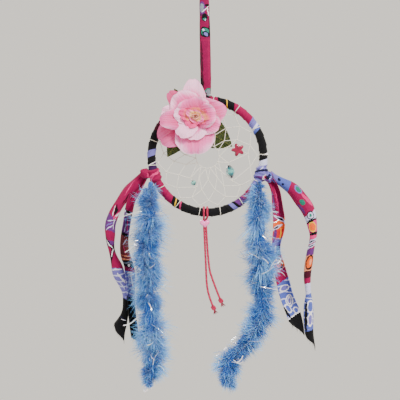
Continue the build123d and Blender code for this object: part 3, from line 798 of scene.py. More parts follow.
string_finish = waxed_thread("boa_string", rgb(70, 110, 170), rgb(30, 56, 110), 0.25)
cord_finish = waxed_thread("pink_cord", rgb(186, 16, 70), rgb(96, 4, 32), 0.16, sheen=0.1)
boa_lines = {"left": route_line(LEFT_BOA), "right": route_line(RIGHT_BOA)}
tassel_lines = {"left": route_line(LEFT_STRAND), "right": route_line(RIGHT_STRAND)}
boa_strings, tassel_cords = {}, {}
for side, line in boa_lines.items():
    cord = twisted_cord(f"{side}_boa_core", line[::2], STRING_DIAMETER, STRING_LAY, string_finish)
    boa_strings[side] = finish_piece(cord, f"{side}_boa", "boa_string", f"{side}_boa_string")
for side, line in tassel_lines.items():
    cord = twisted_cord(f"tassel_strand_{side}", line, TASSEL_DIAMETER, TASSEL_LAY, cord_finish)
    tassel_cords[side] = finish_piece(cord, "tassel", "pink_cord", f"tassel_cord_{side}")


# ---- Lights, floor and backdrop colour ----
def soft_light(name, place, size, power, colour):
    data = bpy.data.lights.new(name, "AREA")
    data.shape = "DISK"
    data.size = size
    data.energy = power
    data.color = colour
    light = bpy.data.objects.new(name, data)
    light.location = place
    light.rotation_euler = (VIEW_CENTRE - Vector(place)).to_track_quat("-Z", "Y").to_euler()
    scene.collection.objects.link(light)


soft_light("key", (0.75, -1.1, 0.8), 0.45, 45.0, (1.0, 0.98, 0.95))
soft_light("fill", (-1.2, -1.0, -0.1), 1.0, 8.0, (0.95, 0.97, 1.0))
soft_light("back", (-0.5, 1.3, 0.5), 0.9, 20.0, (1.0, 0.98, 0.96))

world = bpy.data.worlds.new("studio")
world.use_nodes = True
background = world.node_tree.nodes["Background"]
background.inputs["Color"].default_value = (*rgb(206, 201, 192), 1.0)
background.inputs["Strength"].default_value = 1.7
scene.world = world

FLOOR_RADIUS, FLOOR_Z = 0.2, -0.472
floor_finish = Finish("floor")
floor_grain = floor_finish.noise(floor_finish.place(), 60.0, 4.0, 0.6)
floor_finish.surface(
    floor_finish.between(floor_grain, rgb(214, 210, 203), rgb(222, 219, 213)),
    floor_finish.between(floor_grain, 0.8, 0.95),
    floor_finish.bump(floor_grain, 0.0004, 0.4),
)
rings = np.array([
    [(radius * math.cos(turn), radius * math.sin(turn), FLOOR_Z) for turn in np.arange(96) * math.pi / 48]
    for radius in np.linspace(0.004, FLOOR_RADIUS, 12)
])
floor = grid_piece("floor", rings, floor_finish.material, close_columns=True)
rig.stage(floor)


# ---- Joined meshes ----
class Parts:
    """Gathers several grids into one mesh object."""

    def __init__(self):
        self.points, self.faces, self.corners = [], [], []
        self.count = 0

    def add(self, points, strip=None, **closing):
        faces, corners = grid(points, strip, start=self.count, **closing)
        if strip is None:
            corners = [(0.0, 0.0, 0.0)] * (4 * len(faces))
        flat = points.reshape(-1, 3)
        self.points.append(flat)
        self.faces += faces
        self.corners += corners
        self.count += len(flat)

    def join(self, other):
        """Takes over another gathering's grids."""
        self.points += other.points
        self.faces += [[self.count + corner for corner in face] for face in other.faces]
        self.corners += other.corners
        self.count += other.count

    def build(self, name, material, smooth=True):
        return add_mesh(name, np.vstack(self.points), self.faces, material, self.corners, smooth=smooth)


def pinched(points):
    """The same grid with its first and last rows drawn in, so that a tube's ends are closed."""
    closed = points.copy()
    for row in (0, -1):
        middle = points[row].mean(axis=0)
        closed[row] = middle + 0.02 * (points[row] - middle)
    return closed


def add_cord(parts, line, radius, lay, sides, plies=2, side=(0.0, 0.0, 1.0), taper=None):
    """Adds a short length of twisted cord to a mesh being gathered. taper is its thickness at each point."""
    length = lengths_along(line)[-1]
    points = swept(line, twisted_section(radius, plies, length / lay, sides), side)
    if taper is not None:
        middle = line[:, None, :]
        points = middle + (points - middle) * np.asarray(taper)[:, None, None]
    ends = np.concatenate([line[:1], line, line[-1:]])
    points = np.concatenate([points[:1], points, points[-1:]])
    parts.add(pinched(points), cord_strip(ends, sides), close_columns=True)


def on_hoop(angle, radius=HOOP_RADIUS, forward=0.0):
    """The point at that angle, in degrees anticlockwise from +X, that far forward of the hoop's plane."""
    turn = math.radians(angle)
    return HOOP + np.array((radius * math.cos(turn), -forward, radius * math.sin(turn)))


def round_hoop(angle, around, reach):
    """The point at an angle of the hoop, that far from its tube's middle.

    around is the turn about that middle: it starts outwards and turns forwards."""
    return on_hoop(angle, HOOP_RADIUS + reach * math.cos(around), reach * math.sin(around))


# ---- Hoop ----
WRAP_TURNS, WRAP_STRIP_WIDTH = 37, 9.5
WRAP_ROWS, WRAP_COLUMNS = 1000, 32
# Where each colour starts, in degrees round the hoop.
wrap_bands = [
    (0, "white"), (1.5, "black"), (27, "blue"), (31, "pale"), (33, "lilac"), (40, "magenta"), (62, "black"),
    (69, "yellow"), (70.5, "black"), (79, "magenta"), (86, "teal"), (91, "magenta"), (143, "maroon"),
    (152, "black"), (174, "lilac"), (181, "black"), (188, "white"), (189.5, "plum"), (206, "magenta"),
    (231, "black"), (235, "yellow"), (236.5, "black"), (241, "pink"), (243, "black"), (296, "lilac"),
    (300, "black"), (303, "purple"), (311, "magenta"), (330, "lilac"), (351, "pale"), (357, "black"),
]
wrap_cloth = print_cloth("wrap_print", 360.0, wrap_bands, seed=2.0, spread=0.5)


def wrap_place(i, j):
    """The winding: each turn laps over the one before, and is lightly creased."""
    angle, around = 360 * i / WRAP_ROWS, 2 * math.pi * j / WRAP_COLUMNS
    phase = (WRAP_TURNS * i / WRAP_ROWS + j / WRAP_COLUMNS) % 1.0
    lap = 0.42 * MM * (1 - phase) ** 1.4 + 0.2 * MM * math.exp(-(((phase - 0.06) / 0.06) ** 2))
    crease = wobble(3, *(on_hoop(angle) * 160)) * 0.16 * MM * math.sin(3 * around + angle * 0.35)
    point = round_hoop(angle, around, WRAP_RADIUS - 0.5 * MM + lap + crease)
    return point, (phase * WRAP_STRIP_WIDTH, angle + WRAP_STRIP_WIDTH * j / WRAP_COLUMNS, 0.0)


wrap_points, wrap_strip = filled_grid(WRAP_ROWS, WRAP_COLUMNS, wrap_place, closed=True)
wrap = grid_piece("hoop_cloth", wrap_points, wrap_cloth, wrap_strip, close_rows=True, close_columns=True)
finish_piece(wrap, "hoop", "print_cloth", "hoop_wrap")
shade_nodes(drawn_wire(), "hoop_core")


# ---- Web ----
HITCH_ANGLES = [0, 28, 56, 82, 110, 136, 162, 187, 212, 236, 260, 281, 305, 331]
HITCH_REACH, FIRST_KNOTS = 0.0049, 0.0498
WEB_RADII = [0.044, 0.034, 0.023, 0.012]
THREAD_RADIUS, THREAD_LAY = 0.00033, 0.0016
STAR_PLACE, STAR_HOLE_ANGLE = (0.0305, 0.006), -21.8
DROP_PLACE, DROP_HOLE_ANGLE = (0.0225, -0.0155), -77.3
SMALL_PLACE, SMALL_HOLE_ANGLE = (-0.0145, -0.026), -56.6


def in_web(x, z):
    """The point in the hoop's plane, that far right of and above its middle."""
    return HOOP + np.array((x, 0.0, z))


def along_hole(place, angle, reach):
    """The point that far along a bead's hole from the bead's middle."""
    turn = math.radians(angle)
    return in_web(place[0] + reach * math.cos(turn), place[1] + reach * math.sin(turn))


angles = list(HITCH_ANGLES)
knots = [[on_hoop(angle, FIRST_KNOTS) for angle in angles]]
for radius in WEB_RADII:
    nexts = angles[1:] + [angles[0] + 360]
    angles = [(a + b) / 2 for a, b in zip(angles, nexts)]
    knots.append([on_hoop(angle, radius) for angle in angles])
# The threads on both sides of a bead end where its hole does, and two knots nearby are pulled over. Knots are
# counted by ring from the hoop inwards, then by place in the ring.
knots[2][13] = along_hole(STAR_PLACE, STAR_HOLE_ANGLE, 0.0108)
knots[3][13] = along_hole(STAR_PLACE, STAR_HOLE_ANGLE, -0.0097)
knots[2][12] = along_hole(DROP_PLACE, DROP_HOLE_ANGLE, 0.010)
knots[3][12] = along_hole(DROP_PLACE, DROP_HOLE_ANGLE, -0.0089)
knots[2][8] = along_hole(SMALL_PLACE, SMALL_HOLE_ANGLE, 0.0055)
knots[3][7] = along_hole(SMALL_PLACE, SMALL_HOLE_ANGLE, -0.0055)
knots[2][11] = in_web(0.016, -0.030)
knots[3][11] = in_web(0.0135, -0.0155)

spans = []
for outer, inner in zip(knots, knots[1:]):
    spans += zip(outer, inner)
    spans += zip(inner, outer[1:] + outer[:1])
spans += zip(knots[-1], knots[-1][1:] + knots[-1][:1])


def add_thread(parts, line, side=(0.0, 0.0, 1.0)):
    """Adds a length of the web's three-ply thread."""
    add_cord(parts, line, THREAD_RADIUS, lay=THREAD_LAY, sides=8, plies=3, side=side)


def ring_line(centre, one, two, count):
    """Points round an oval whose half axes are one and two."""
    turns = np.linspace(0, 2 * math.pi, count)[:, None]
    return centre + one * np.cos(turns) + two * np.sin(turns)


thread_finish = waxed_thread("web_cotton", rgb(238, 233, 220), rgb(186, 178, 158), 0.8)
web = Parts()
for start, end in spans:
    share = np.linspace(0, 1, 9)[:, None]
    line = start + (end - start) * share
    line[:, 1] += 0.12 * MM * np.sin(np.linspace(0, 3 * math.pi, 9))
    add_thread(web, line)

# A half hitch at each knot: a small loop round the thread it hangs from, drawn down into a lump.
for ring in knots:
    for knot in ring:
        outwards = unit(knot - HOOP)
        sideways = np.cross(outwards, (0.0, 1.0, 0.0))
        tilt = 0.35 * sideways + np.array((0.0, 0.9, 0.0))
        loop = ring_line(knot, outwards * 0.62 * MM, tilt * 0.62 * MM, 15)
        add_thread(web, loop, tuple(sideways))
        low = knot - outwards * 0.35 * MM
        lump = ring_line(low, sideways * 0.42 * MM, np.array((0.0, 0.5 * MM, 0.0)), 11)
        add_thread(web, lump, tuple(outwards))
finish_piece(web.build("web_net", thread_finish), "hoop", "web_cotton", "web_thread")

hitches = Parts()
for i, angle in enumerate(HITCH_ANGLES):
    lean = 1.56 if i % 2 else 1.08
    around = np.linspace(-math.pi, math.pi, 49)
    line = np.array([round_hoop(angle + lean * math.sin(a / 2), a, HITCH_REACH) for a in around])
    add_thread(hitches, line)
finish_piece(hitches.build("hoop_half_hitches", thread_finish), "hoop", "web_cotton", "web_hitches")


# ---- Beads ----
def puffed(outline, centre, right, up, depth, fullness, rings=9):
    """A moulded flat shape with rounded faces: its outline drawn in as it rises to each face."""
    front = np.cross(right, up)
    rows = []
    for turn in np.linspace(-0.5 * math.pi, 0.5 * math.pi, 2 * rings + 1):
        drawn = max(math.cos(turn), 0.0) ** fullness
        height = math.copysign(abs(math.sin(turn)) ** 0.9, turn) * depth / 2
        rows.append([centre + front * height + drawn * (x * right + y * up) for x, y in outline])
    return pinched(np.array(rows))


def star_outline(tip, valley, count=80):
    """A five-pointed star with rounded points, one of them to the left."""
    outline = []
    for i in range(count):
        turn = 2 * math.pi * i / count
        point = (0.5 + 0.5 * math.cos(5 * (turn - math.pi))) ** 0.95
        reach = valley + (tip - valley) * point
        outline.append((reach * math.cos(turn), reach * math.sin(turn)))
    return outline


def heart_outline(width, count=72):
    """A heart, its point down."""
    outline = []
    for i in range(count):
        turn = 2 * math.pi * i / count
        x = 16 * math.sin(turn) ** 3
        y = 13 * math.cos(turn) - 5 * math.cos(2 * turn) - 2 * math.cos(3 * turn) - math.cos(4 * turn)
        outline.append((x * width / 32, (y + 1.5) * 0.92 * width / 32))
    return outline[::-1]


RIGHT, FRONT, UP = np.array((1.0, 0.0, 0.0)), np.array((0.0, -1.0, 0.0)), np.array((0.0, 0.0, 1.0))
crimson = cast_bead(
    "crimson_plastic", rgb(154, 4, 62), rgb(110, 2, 40), 260.0, Specular_IOR_Level=0.4, Coat_Weight=0.25,
    Coat_Roughness=0.1,
)
star = grid_piece(
    "star_charm", puffed(star_outline(6.8 * MM, 3.9 * MM), in_web(*STAR_PLACE), RIGHT, UP, 4.2 * MM, 0.45),
    crimson, close_columns=True,
)
finish_piece(star, "star", "crimson_plastic", "star_bead")


def faceted_bead(name, place, angle, length, radius, sides, material):
    """A cut bead: rows of facets that turn half a side from one to the next, and a bored hole."""
    centre = in_web(*place)
    axis = along_hole(place, angle, 1.0) - centre
    one, two = FRONT, np.cross(axis, FRONT)
    profile = [
        (0.0, 0.16), (0.42, 0.16), (0.5, 0.3), (0.34, 0.66), (0.12, 1.0),
        (-0.12, 1.0), (-0.34, 0.66), (-0.5, 0.3), (-0.42, 0.16), (0.0, 0.16),
    ]
    rows = []
    for i, (height, reach) in enumerate(profile):
        outline = circle(reach * radius, sides, (i % 2) * math.pi / sides)
        rows.append(centre + axis * height * length + outline[:, :1] * one + outline[:, 1:] * two)
    points, faces = np.array(rows), []
    for i in range(len(profile) - 1):
        for j in range(sides):
            low, low_next = i * sides + j, i * sides + (j + 1) % sides
            high, high_next = low + sides, low_next + sides
            if i % 2:
                faces += [(low, low_next, high_next), (low, high_next, high)]
            else:
                faces += [(low, low_next, high), (low_next, high_next, high)]
    return add_mesh(name, points.reshape(-1, 3), faces, material, smooth=False)


for name, body, node, place, angle, size, slot, colours in (
    ("drop_cut", "drop", "drop_bead", DROP_PLACE, DROP_HOLE_ANGLE, (13.0, 4.4, 8), "teal_plastic",
     (rgb(14, 44, 52), rgb(34, 126, 130), rgb(116, 196, 190))),
    ("small_cut", "small_aqua", "small_bead", SMALL_PLACE, SMALL_HOLE_ANGLE, (5.6, 3.1, 6), "aqua_plastic",
     (rgb(22, 80, 78), rgb(62, 152, 142), rgb(144, 208, 194))),
):
    centre = in_web(*place)
    finish = banded_bead(slot, centre, along_hole(place, angle, 1.0) - centre, size[0] / 2 * MM, *colours)
    cut = faceted_bead(name, place, angle, size[0] * MM, size[1] * MM, size[2], finish)
    finish_piece(cut, body, slot, node)


# ---- Strips of printed cloth ----
def curl_angle(ratio):
    """Half the turn of a rolled strip that looks that share of its flat width."""
    if ratio < 2 / math.pi:
        return min(1 / ratio, 3.05)
    low, high = 1e-3, math.pi / 2
    for _ in range(30):
        middle = (low + high) / 2
        if math.sin(middle) / middle > ratio:
            low = middle
        else:
            high = middle
    return low


def curled_strip(path, chords, flat_half, curl_side, end_cut, seed, rows=260, columns=25):
    """A strip of jersey whose edges roll in where it is narrower than it was cut.

    path is its middle line, chords half its width as seen, and end_cut how much shorter its left edge is.
    Returns points, strip values and its length."""
    line = resample(path, rows)
    along = lengths_along(line)
    length = along[-1]
    halves = evened(np.interp(np.linspace(0, 1, rows), np.linspace(0, 1, len(chords)), chords), 9)
    tangents = unit(np.gradient(line, axis=0))
    across = unit(np.cross(tangents, np.array((0.0, -1.0, 0.0))))
    out = unit(np.cross(across, tangents))
    points, strip = np.zeros((rows, columns, 3)), np.zeros((rows, columns, 3))
    for j, u in enumerate(np.linspace(-1, 1, columns)):
        share = np.linspace(0, 1, rows) * (1 - end_cut * (0.5 + 0.5 * u))
        for i, at in enumerate(share * (rows - 1)):
            k = min(int(at), rows - 2)
            turn = curl_angle(min(pick(halves, at) / flat_half, 0.97))
            lean = 0.5 * wobble(seed, share[i] * 5.0)
            roll = u * turn * (1 + 0.18 * wobble(seed + 3, share[i] * 7.0, u))
            bend = flat_half / turn
            side = bend * math.sin(roll)
            deep = curl_side * bend * (1 - math.cos(roll))
            ripple = 0.35 * MM * wobble(seed + 5, share[i] * 22.0, u * 1.5)
            right = side * math.cos(lean) - deep * math.sin(lean)
            front = side * math.sin(lean) + deep * math.cos(lean)
            points[i, j] = pick(line, at) + across[k] * right + out[k] * (front + ripple)
            strip[i, j] = (u * flat_half / MM, at / (rows - 1) * length / MM, 0.0)
    return points, strip, length


def spline_line(places, count=160):
    """A smooth line through given places, each a tuple; extra values are carried along too."""
    places = np.array(places, float)
    knots_at = lengths_along(places[:, :3])
    knots_at /= knots_at[-1]
    share = np.linspace(0, 1, count)
    slopes = np.gradient(places, knots_at, axis=0)
    out = np.zeros((count, places.shape[1]))
    for i, at in enumerate(share):
        k = min(int(np.searchsorted(knots_at, at, side="right")) - 1, len(places) - 2)
        k = max(k, 0)
        gap = knots_at[k + 1] - knots_at[k]
        t = (at - knots_at[k]) / gap
        out[i] = (
            (2 * t**3 - 3 * t**2 + 1) * places[k]
            + (t**3 - 2 * t**2 + t) * gap * slopes[k]
            + (3 * t**2 - 2 * t**3) * places[k + 1]
            + (t**3 - t**2) * gap * slopes[k + 1]
        )
    return out


TAIL_FLAT_HALF, TAIL_PRINT_LENGTH = 0.0078, 200.0
TAIL_BLEND_HALF = 0.006
TAILS = {
    # All in millimetres. Stations are (x, y, z, half width as seen), from the knot down. Bands, patches and
    # swirls are placed by how far below the hanging eye's middle they are; a patch's second number is how far
    # right of the middle line it is, and the rest is as print_cloth says. bend is where the tail swings.
    "left_outer": {
        "stations": [
            (-64, 3.5, -197, 3.5), (-71, 4, -204, 5), (-78, 4, -212, 5.6), (-88.4, 3.5, -228, 4.6),
            (-94.6, 3.2, -238, 5), (-99.3, 3, -248, 5.2), (-100, 2.5, -258, 4.8), (-99.6, 2.8, -266, 3.7),
            (-98, 3, -274, 2.8), (-95.5, 3, -282, 3.6), (-92.8, 2.5, -290, 5.4), (-91, 2, -297, 5.7),
            (-87.6, 2.5, -307, 4.4), (-85.4, 3, -316, 2.9), (-85.2, 3, -325, 2.4), (-86.6, 3, -338, 3.4),
            (-90, 2.5, -347, 5.6), (-93.2, 3, -355, 7.0), (-93.6, 3, -365, 6.0),
        ],
        "bend": (-98, 3, -247), "curl": -1, "cut": 0.085, "seed": 1.0,
        "bands": [
            (197, "magenta"), (232, "magenta"), (240, "purple"), (254, "magenta"), (263, "purple"),
            (268, "magenta"), (291, "lilac"), (322, "black"), (341, "navy"), (342, "black"),
        ],
        "patches": [
            (212, -1.5, 0.5, 9, 4, "pink"), (220, 2.2, 0.6, 8, -6, "maroon"),
            (232, -1.6, 0.7, 4.0, 18, "black"), (236, 0.6, 1.5, 5.0, 18, "black"),
            (235, -2.4, 0.35, 6.0, 14, "white"), (236.5, 3.6, 0.9, 3.4, -22, "white", "pink"),
            (243.5, 0, 4.6, 0.5, 32, "pale"), (247, 0, 4.8, 0.5, 34, "lilac"),
            (250.5, 0, 4.8, 0.5, 36, "pale"), (246, 3.8, 0.4, 7, 6, "white"),
            (267.5, -0.9, 0.55, 5.4, 30, "white", "black"), (276, 0.2, 0.5, 4.4, -30, "white", "black"),
            (293, 0, 4.8, 0.6, -8, "white"), (302, 0.8, 0.9, 6.5, 20, "white"),
            (309, -0.8, 0.6, 5, 18, "pale"), (343, 1.4, 3.0, 0.35, 4, "white"),
        ],
        "swirls": [(292, 320)],
    },
    "left_inner": {
        "stations": [
            (-63, 8, -200, 3.2), (-67.5, 8.5, -207, 4.2), (-72, 8.5, -215, 4.4), (-76.8, 8.2, -223, 4.0),
            (-79.9, 8, -233, 3.9), (-82, 7.8, -243, 3.6), (-83.8, 7.6, -255, 3.7), (-84.6, 7.5, -268, 4.0),
            (-83.6, 8, -280, 4.6), (-81.6, 8, -288, 4.5), (-80.7, 8, -296, 4.8), (-79.8, 8, -308, 4.2),
            (-79.8, 8.3, -323, 3.7), (-79, 8.5, -336, 3.6), (-76.4, 8, -356, 3.8), (-75.3, 8, -370, 3.4),
        ],
        "bend": (-82.5, 7.8, -248), "curl": 1, "cut": 0.06, "seed": 2.0,
        "bands": [
            (200, "magenta"), (234.5, "black"), (236.5, "pale"), (238, "purple"), (257, "black"),
            (260, "rust"), (279, "peach"), (280.2, "rust"), (282.5, "peach"), (284, "black"), (286, "grey"),
            (287.5, "black"), (291, "magenta"), (295.5, "lilac"), (321, "black"), (344, "navy"),
            (345, "black"),
        ],
        "patches": [
            (218, -1.5, 0.6, 12, 4, "maroon"), (247, 1.0, 0.45, 9, 6, "pink"),
            (244, -1.7, 0.4, 5, 0, "lilac"), (252, -0.8, 0.4, 4, -10, "pale"),
            (265.5, 0, 0.5, 4, -35, "pale"), (273, -1.2, 0.4, 5, 6, "pink"),
            (289.5, 0.3, 1.4, 1.3, 0, "white", "black"), (296.8, 0, 3.8, 0.6, 0, "white"),
            (305, 1.8, 0.6, 8, 5, "white"), (308, -2, 0.5, 8, -6, "pale"),
        ],
        "swirls": [(297, 320)],
    },
    "right_inner": {
        "stations": [
            (60, 8, -202, 3.2), (64, 8.5, -209, 3.6), (67.2, 8.4, -217, 4.2), (68.9, 8.2, -227, 4.8),
            (69.9, 8, -237, 5.4), (70.2, 7.8, -247, 5.7), (69.4, 7.7, -257, 5.5), (67.8, 7.5, -267, 4.4),
            (67.2, 7.6, -276, 3.9), (67.9, 7.8, -284, 4.3), (69.4, 8, -292, 5.2), (71.9, 8, -302, 6.2),
            (75, 8, -312, 6.5), (77.4, 8.2, -322, 6.5), (79.9, 8.4, -332, 6.7), (83.4, 8.4, -342, 7.4),
            (85.8, 8, -352, 7.2), (88, 8, -364, 5.2),
        ],
        "bend": (72, 7.8, -248), "curl": 1, "cut": 0.1, "seed": 3.0,
        "bands": [
            (202, "magenta"), (245.5, "orange"), (256, "red"), (265, "lilac"), (272, "purple"),
            (278, "lilac"), (282, "pale"), (283.5, "orange"), (296, "pale"), (297.2, "magenta"),
            (307.5, "blue"), (342, "white"), (343, "black"),
        ],
        "patches": [
            (224, -4.2, 1.0, 15, 0, "purple"), (226, 0.6, 0.7, 14, 2, "pink"),
            (228, -2.6, 0.5, 12, 3, "maroon"), (237.5, -3.8, 1.8, 0.7, 30, "black"),
            (245.5, 2.0, 4.6, 0.8, -26, "black", "pale"), (254.5, -2.4, 3.6, 0.7, 28, "black", "pale"),
            (263, -3.2, 2.4, 7, -8, "purple"), (260, 3.8, 0.6, 6, 4, "yellow"),
            (288.5, 1.2, 4.6, 6.6, -18, "orange", "black"), (288, 2.4, 1.8, 3.4, -18, "yellow", "orange"),
            (328, 1.2, 3.2, 5.2, -15, "blue", "white"), (328, 1.0, 1.3, 2.6, -15, "lilac", "white"),
            (335, -3.2, 2.2, 3.6, 20, "blue", "white"), (315, -0.6, 4.0, 2.2, 14, "lilac", "white"),
            (339, 4.4, 2.0, 2.6, 0, "blue", "white"), (338, -6.6, 1.6, 8, 18, "black"),
        ],
        "swirls": [(308, 341)],
    },
    "right_outer": {
        "stations": [
            (62, 3.5, -200, 3.3), (66, 4, -203.5, 3.6), (73.5, 4, -208, 4.1), (83.8, 3.7, -215.3, 6),
            (92.6, 3.5, -226, 6.9), (99.2, 3.2, -235.4, 6.7), (102.2, 3, -243.4, 5.7),
            (103.8, 2.8, -254, 4.5), (104.2, 2.7, -262, 3.4), (102.7, 2.8, -270.2, 2.9),
            (100.7, 3, -281, 3.3), (99.9, 3, -290.3, 3.8), (98.9, 2.4, -299.7, 3.4), (98.7, 2, -310.4, 3),
            (99.2, 2.6, -319.7, 2.2), (99.4, 3, -330.5, 4.1), (99, 2.8, -341.2, 4.8),
            (98.2, 2.5, -352, 4.5), (98.4, 3, -362.5, 4), (100.6, 3, -377, 3.4),
        ],
        "bend": (101, 3, -243), "curl": -1, "cut": 0.09, "seed": 4.0,
        "bands": [
            (200, "lilac"), (206, "blue"), (213.5, "magenta"), (240.5, "pale"), (247, "black"),
            (248.5, "pink"), (259.5, "black"), (261.5, "pink"), (266, "magenta"), (276, "purple"),
            (282, "peach"), (297, "black"), (298, "maroon"), (304, "magenta"), (310, "pale"), (321, "blue"),
            (358, "black"),
        ],
        "patches": [
            (206.5, 0.8, 1.3, 1.8, 0, "navy"), (209.5, -1.2, 1.2, 1.6, 0, "navy"),
            (219, 4.4, 2.0, 3.2, 0, "teal", "lilac"), (228.7, -0.6, 2.6, 3.6, 0, "teal"),
            (229, 5.2, 1.8, 8, 6, "pink"), (233, -5.4, 1.5, 7, 6, "purple"),
            (242.5, 0.2, 2.6, 3.0, 0, "pale", "black"), (242.6, 0.3, 1.1, 1.5, 0, "teal"),
            (247, 0, 5.4, 0.6, 6, "black"), (254, 0.2, 2.9, 3.9, 0, "orange", "yellow"),
            (260.4, 0, 3.6, 0.7, -25, "black"), (268.5, 0, 3.4, 0.6, 38, "black", "pale"),
            (273.2, 0, 3.4, 0.6, 38, "black", "pale"), (289.5, 0.5, 2.8, 6.0, -10, "orange", "black"),
            (289, 1.2, 1.2, 3.0, -10, "peach"), (334, 1.0, 2.4, 5.0, 0, "blue", "white"),
            (347, 1.4, 1.9, 5.0, 0, "lilac", "white"), (345, -3.3, 1.7, 17, 1, "black"),
        ],
        "swirls": [(322, 356)],
    },
}


def add_frayed_end(parts, points, strip, seed, count=16, reach=0.004):
    """Loose yarn ends that stick out of a torn edge, each a thin tapering strand."""
    rng = random.Random(seed)
    for _ in range(count):
        j = rng.randrange(points.shape[1])
        start = points[-1, j]
        run = unit(points[-1, j] - points[-6, j])
        drift = np.array((rng.uniform(-0.5, 0.5), rng.uniform(-0.5, 0.5), rng.uniform(-0.6, 0.0)))
        length = reach * rng.uniform(0.4, 1.0)
        t = np.linspace(0, 1, 6)[:, None]
        line = start + run * length * (t - 0.15) + drift * length * t**2
        outline = swept(line, lambda share: circle(0.13 * MM * (1 - 0.8 * share), 5))
        own = np.zeros((6, 6, 3))
        own[:] = strip[-1, j]
        parts.add(pinched(outline), own, close_columns=True)


def sheet_parts(points, strip, thickness):
    """A mesh being gathered that holds a thick sheet, its edges closed all round."""
    along, across = np.gradient(points, axis=0), np.gradient(points, axis=1)
    normals = unit(np.cross(across, along))
    half = normals * thickness / 2
    ring = np.concatenate([points + half, (points - half)[:, ::-1]], axis=1)
    texture = np.concatenate([strip, strip[:, ::-1], strip[:, :1]], axis=1)
    rows, columns = points.shape[:2]
    parts = Parts()
    parts.add(ring, texture, close_columns=True)
    for row, order in ((0, -1), (rows - 1, 1)):
        for j in range(columns - 1):
            places = (j, j + 1, 2 * columns - 2 - j, 2 * columns - 1 - j)[::-order]
            parts.faces.append([row * 2 * columns + place for place in places])
            parts.corners += [texture[row, place] for place in places]
    return parts


CLOTH_THICKNESS = 0.0006
tails = {}
for name, tail in TAILS.items():
    path = spline_line([(x * MM, y * MM, z * MM, w * MM) for x, y, z, w in tail["stations"]])
    points, strip, length = curled_strip(
        path[:, :3], path[:, 3], TAIL_FLAT_HALF, tail["curl"], tail["cut"], tail["seed"],
    )
    drops, alongs = -path[:, 2] / MM, lengths_along(path[:, :3]) / MM
    printed = print_cloth(
        f"{name}_print", TAIL_PRINT_LENGTH,
        [(np.interp(drop, drops, alongs), colour) for drop, colour in tail["bands"]],
        [(-right, np.interp(drop, drops, alongs), *shape) for drop, right, *shape in tail["patches"]],
        [(np.interp(one, drops, alongs), np.interp(two, drops, alongs)) for one, two in tail["swirls"]],
        slant=0.3 if name[0] == "l" else -0.3, seed=tail["seed"] * 3.1, spread=0.4,
    )
    parts = sheet_parts(points, strip, CLOTH_THICKNESS)
    add_frayed_end(parts, points, strip, tail["seed"])
    piece = parts.build(f"{name}_strip", printed)
    bend, half = np.array(tail["bend"]) * MM, UP * TAIL_BLEND_HALF
    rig.blend(piece, "hoop", name, start=tuple(bend + half), end=tuple(bend - half))
    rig.slot(piece, "print_cloth")
    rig.replaces(piece, f"{name}_root", f"{name}_tail")
    cut_area = 2 * TAIL_FLAT_HALF * length * (1 - tail["cut"] / 2)
    tails[name] = (piece, length, cut_area)


# ---- Knots and turns of cloth ----
def cloth_turn(name, angle, arc, inner, outer, turns, material, along_start=0.0):
    """Cloth wound round the hoop: ridged turns side by side, between two radii."""
    rows, columns = 72, 40
    # The share of the section's points that are on the outside.
    outside = 0.7

    def place(i, j):
        around = 2 * math.pi * i / rows
        part = (j % columns) / columns
        if part < outside:
            across = part / outside * 2 - 1
            ridge = abs(math.cos(math.pi * (across + 1) / 2 * turns + 0.35 * math.sin(around))) ** 1.5
            edge = math.sqrt(max(0.0, 1 - across**6))
            crease = 0.22 * MM * wobble(angle * 0.1, 2 * math.cos(around), 2 * math.sin(around), across * 3)
            reach = inner + (outer - inner) * edge * (1 - 0.42 * ridge) + crease * edge
        else:
            across = 1 - (part - outside) / (1 - outside) * 2
            reach = inner
        point = round_hoop(angle + across * arc / 2 + 1.2 * math.sin(around), around, reach)
        return point, (around * 6.0, along_start + (across + 1) * 8 + around * 2.5, 0.0)

    points, strip = filled_grid(rows, columns, place, closed=True)
    return grid_piece(name, points, material, strip, close_rows=True, close_columns=True)


def cloth_knot(name, centre, long_axis, half_length, radius, material, seed, along_start=0.0):
    """An overhand knot in a strip: four fat folded turns pulled tight over one another."""
    long_axis = unit(np.asarray(long_axis, float))
    one = unit(np.cross(long_axis, FRONT))
    two = np.cross(long_axis, one)
    parts = Parts()
    rows, columns = 48, 18
    # Each turn's spin and tilt off the long axis, in radians, and its reach and fatness.
    turns = [
        (0.0, 0.35, 1.0, 0.50), (0.9, -0.5, 0.93, 0.46), (2.1, 0.75, 0.88, 0.42), (2.9, -0.15, 0.80, 0.55),
    ]
    for k, (spin, tilt, reach, fat) in enumerate(turns):
        sideways = one * math.cos(spin) + two * math.sin(spin)
        axis = unit(long_axis * math.cos(tilt) + sideways * math.sin(tilt))
        first = unit(np.cross(axis, one + 0.1 * two))
        second = np.cross(axis, first)

        def place(i, j):
            turn, section = 2 * math.pi * i / rows, 2 * math.pi * j / columns
            out = first * math.cos(turn) + second * math.sin(turn)
            shift = axis * 0.28 * half_length * math.sin(turn + k * 1.7)
            width = fat * half_length * math.cos(section)
            height = 0.36 * radius * math.sin(section) * (1 + 0.2 * math.sin(4 * section))
            fold = 0.06 * radius * wobble(seed + k, 2 * math.cos(turn), 2 * math.sin(turn), section)
            point = centre + shift + out * (0.6 * radius * reach + height + fold) + axis * width
            return point, (j * 14 / columns, along_start + k * 9 + i * 26 / rows, 0.0)

        parts.add(*filled_grid(rows, columns, place, closed=True), close_rows=True, close_columns=True)
    return parts.build(name, material)


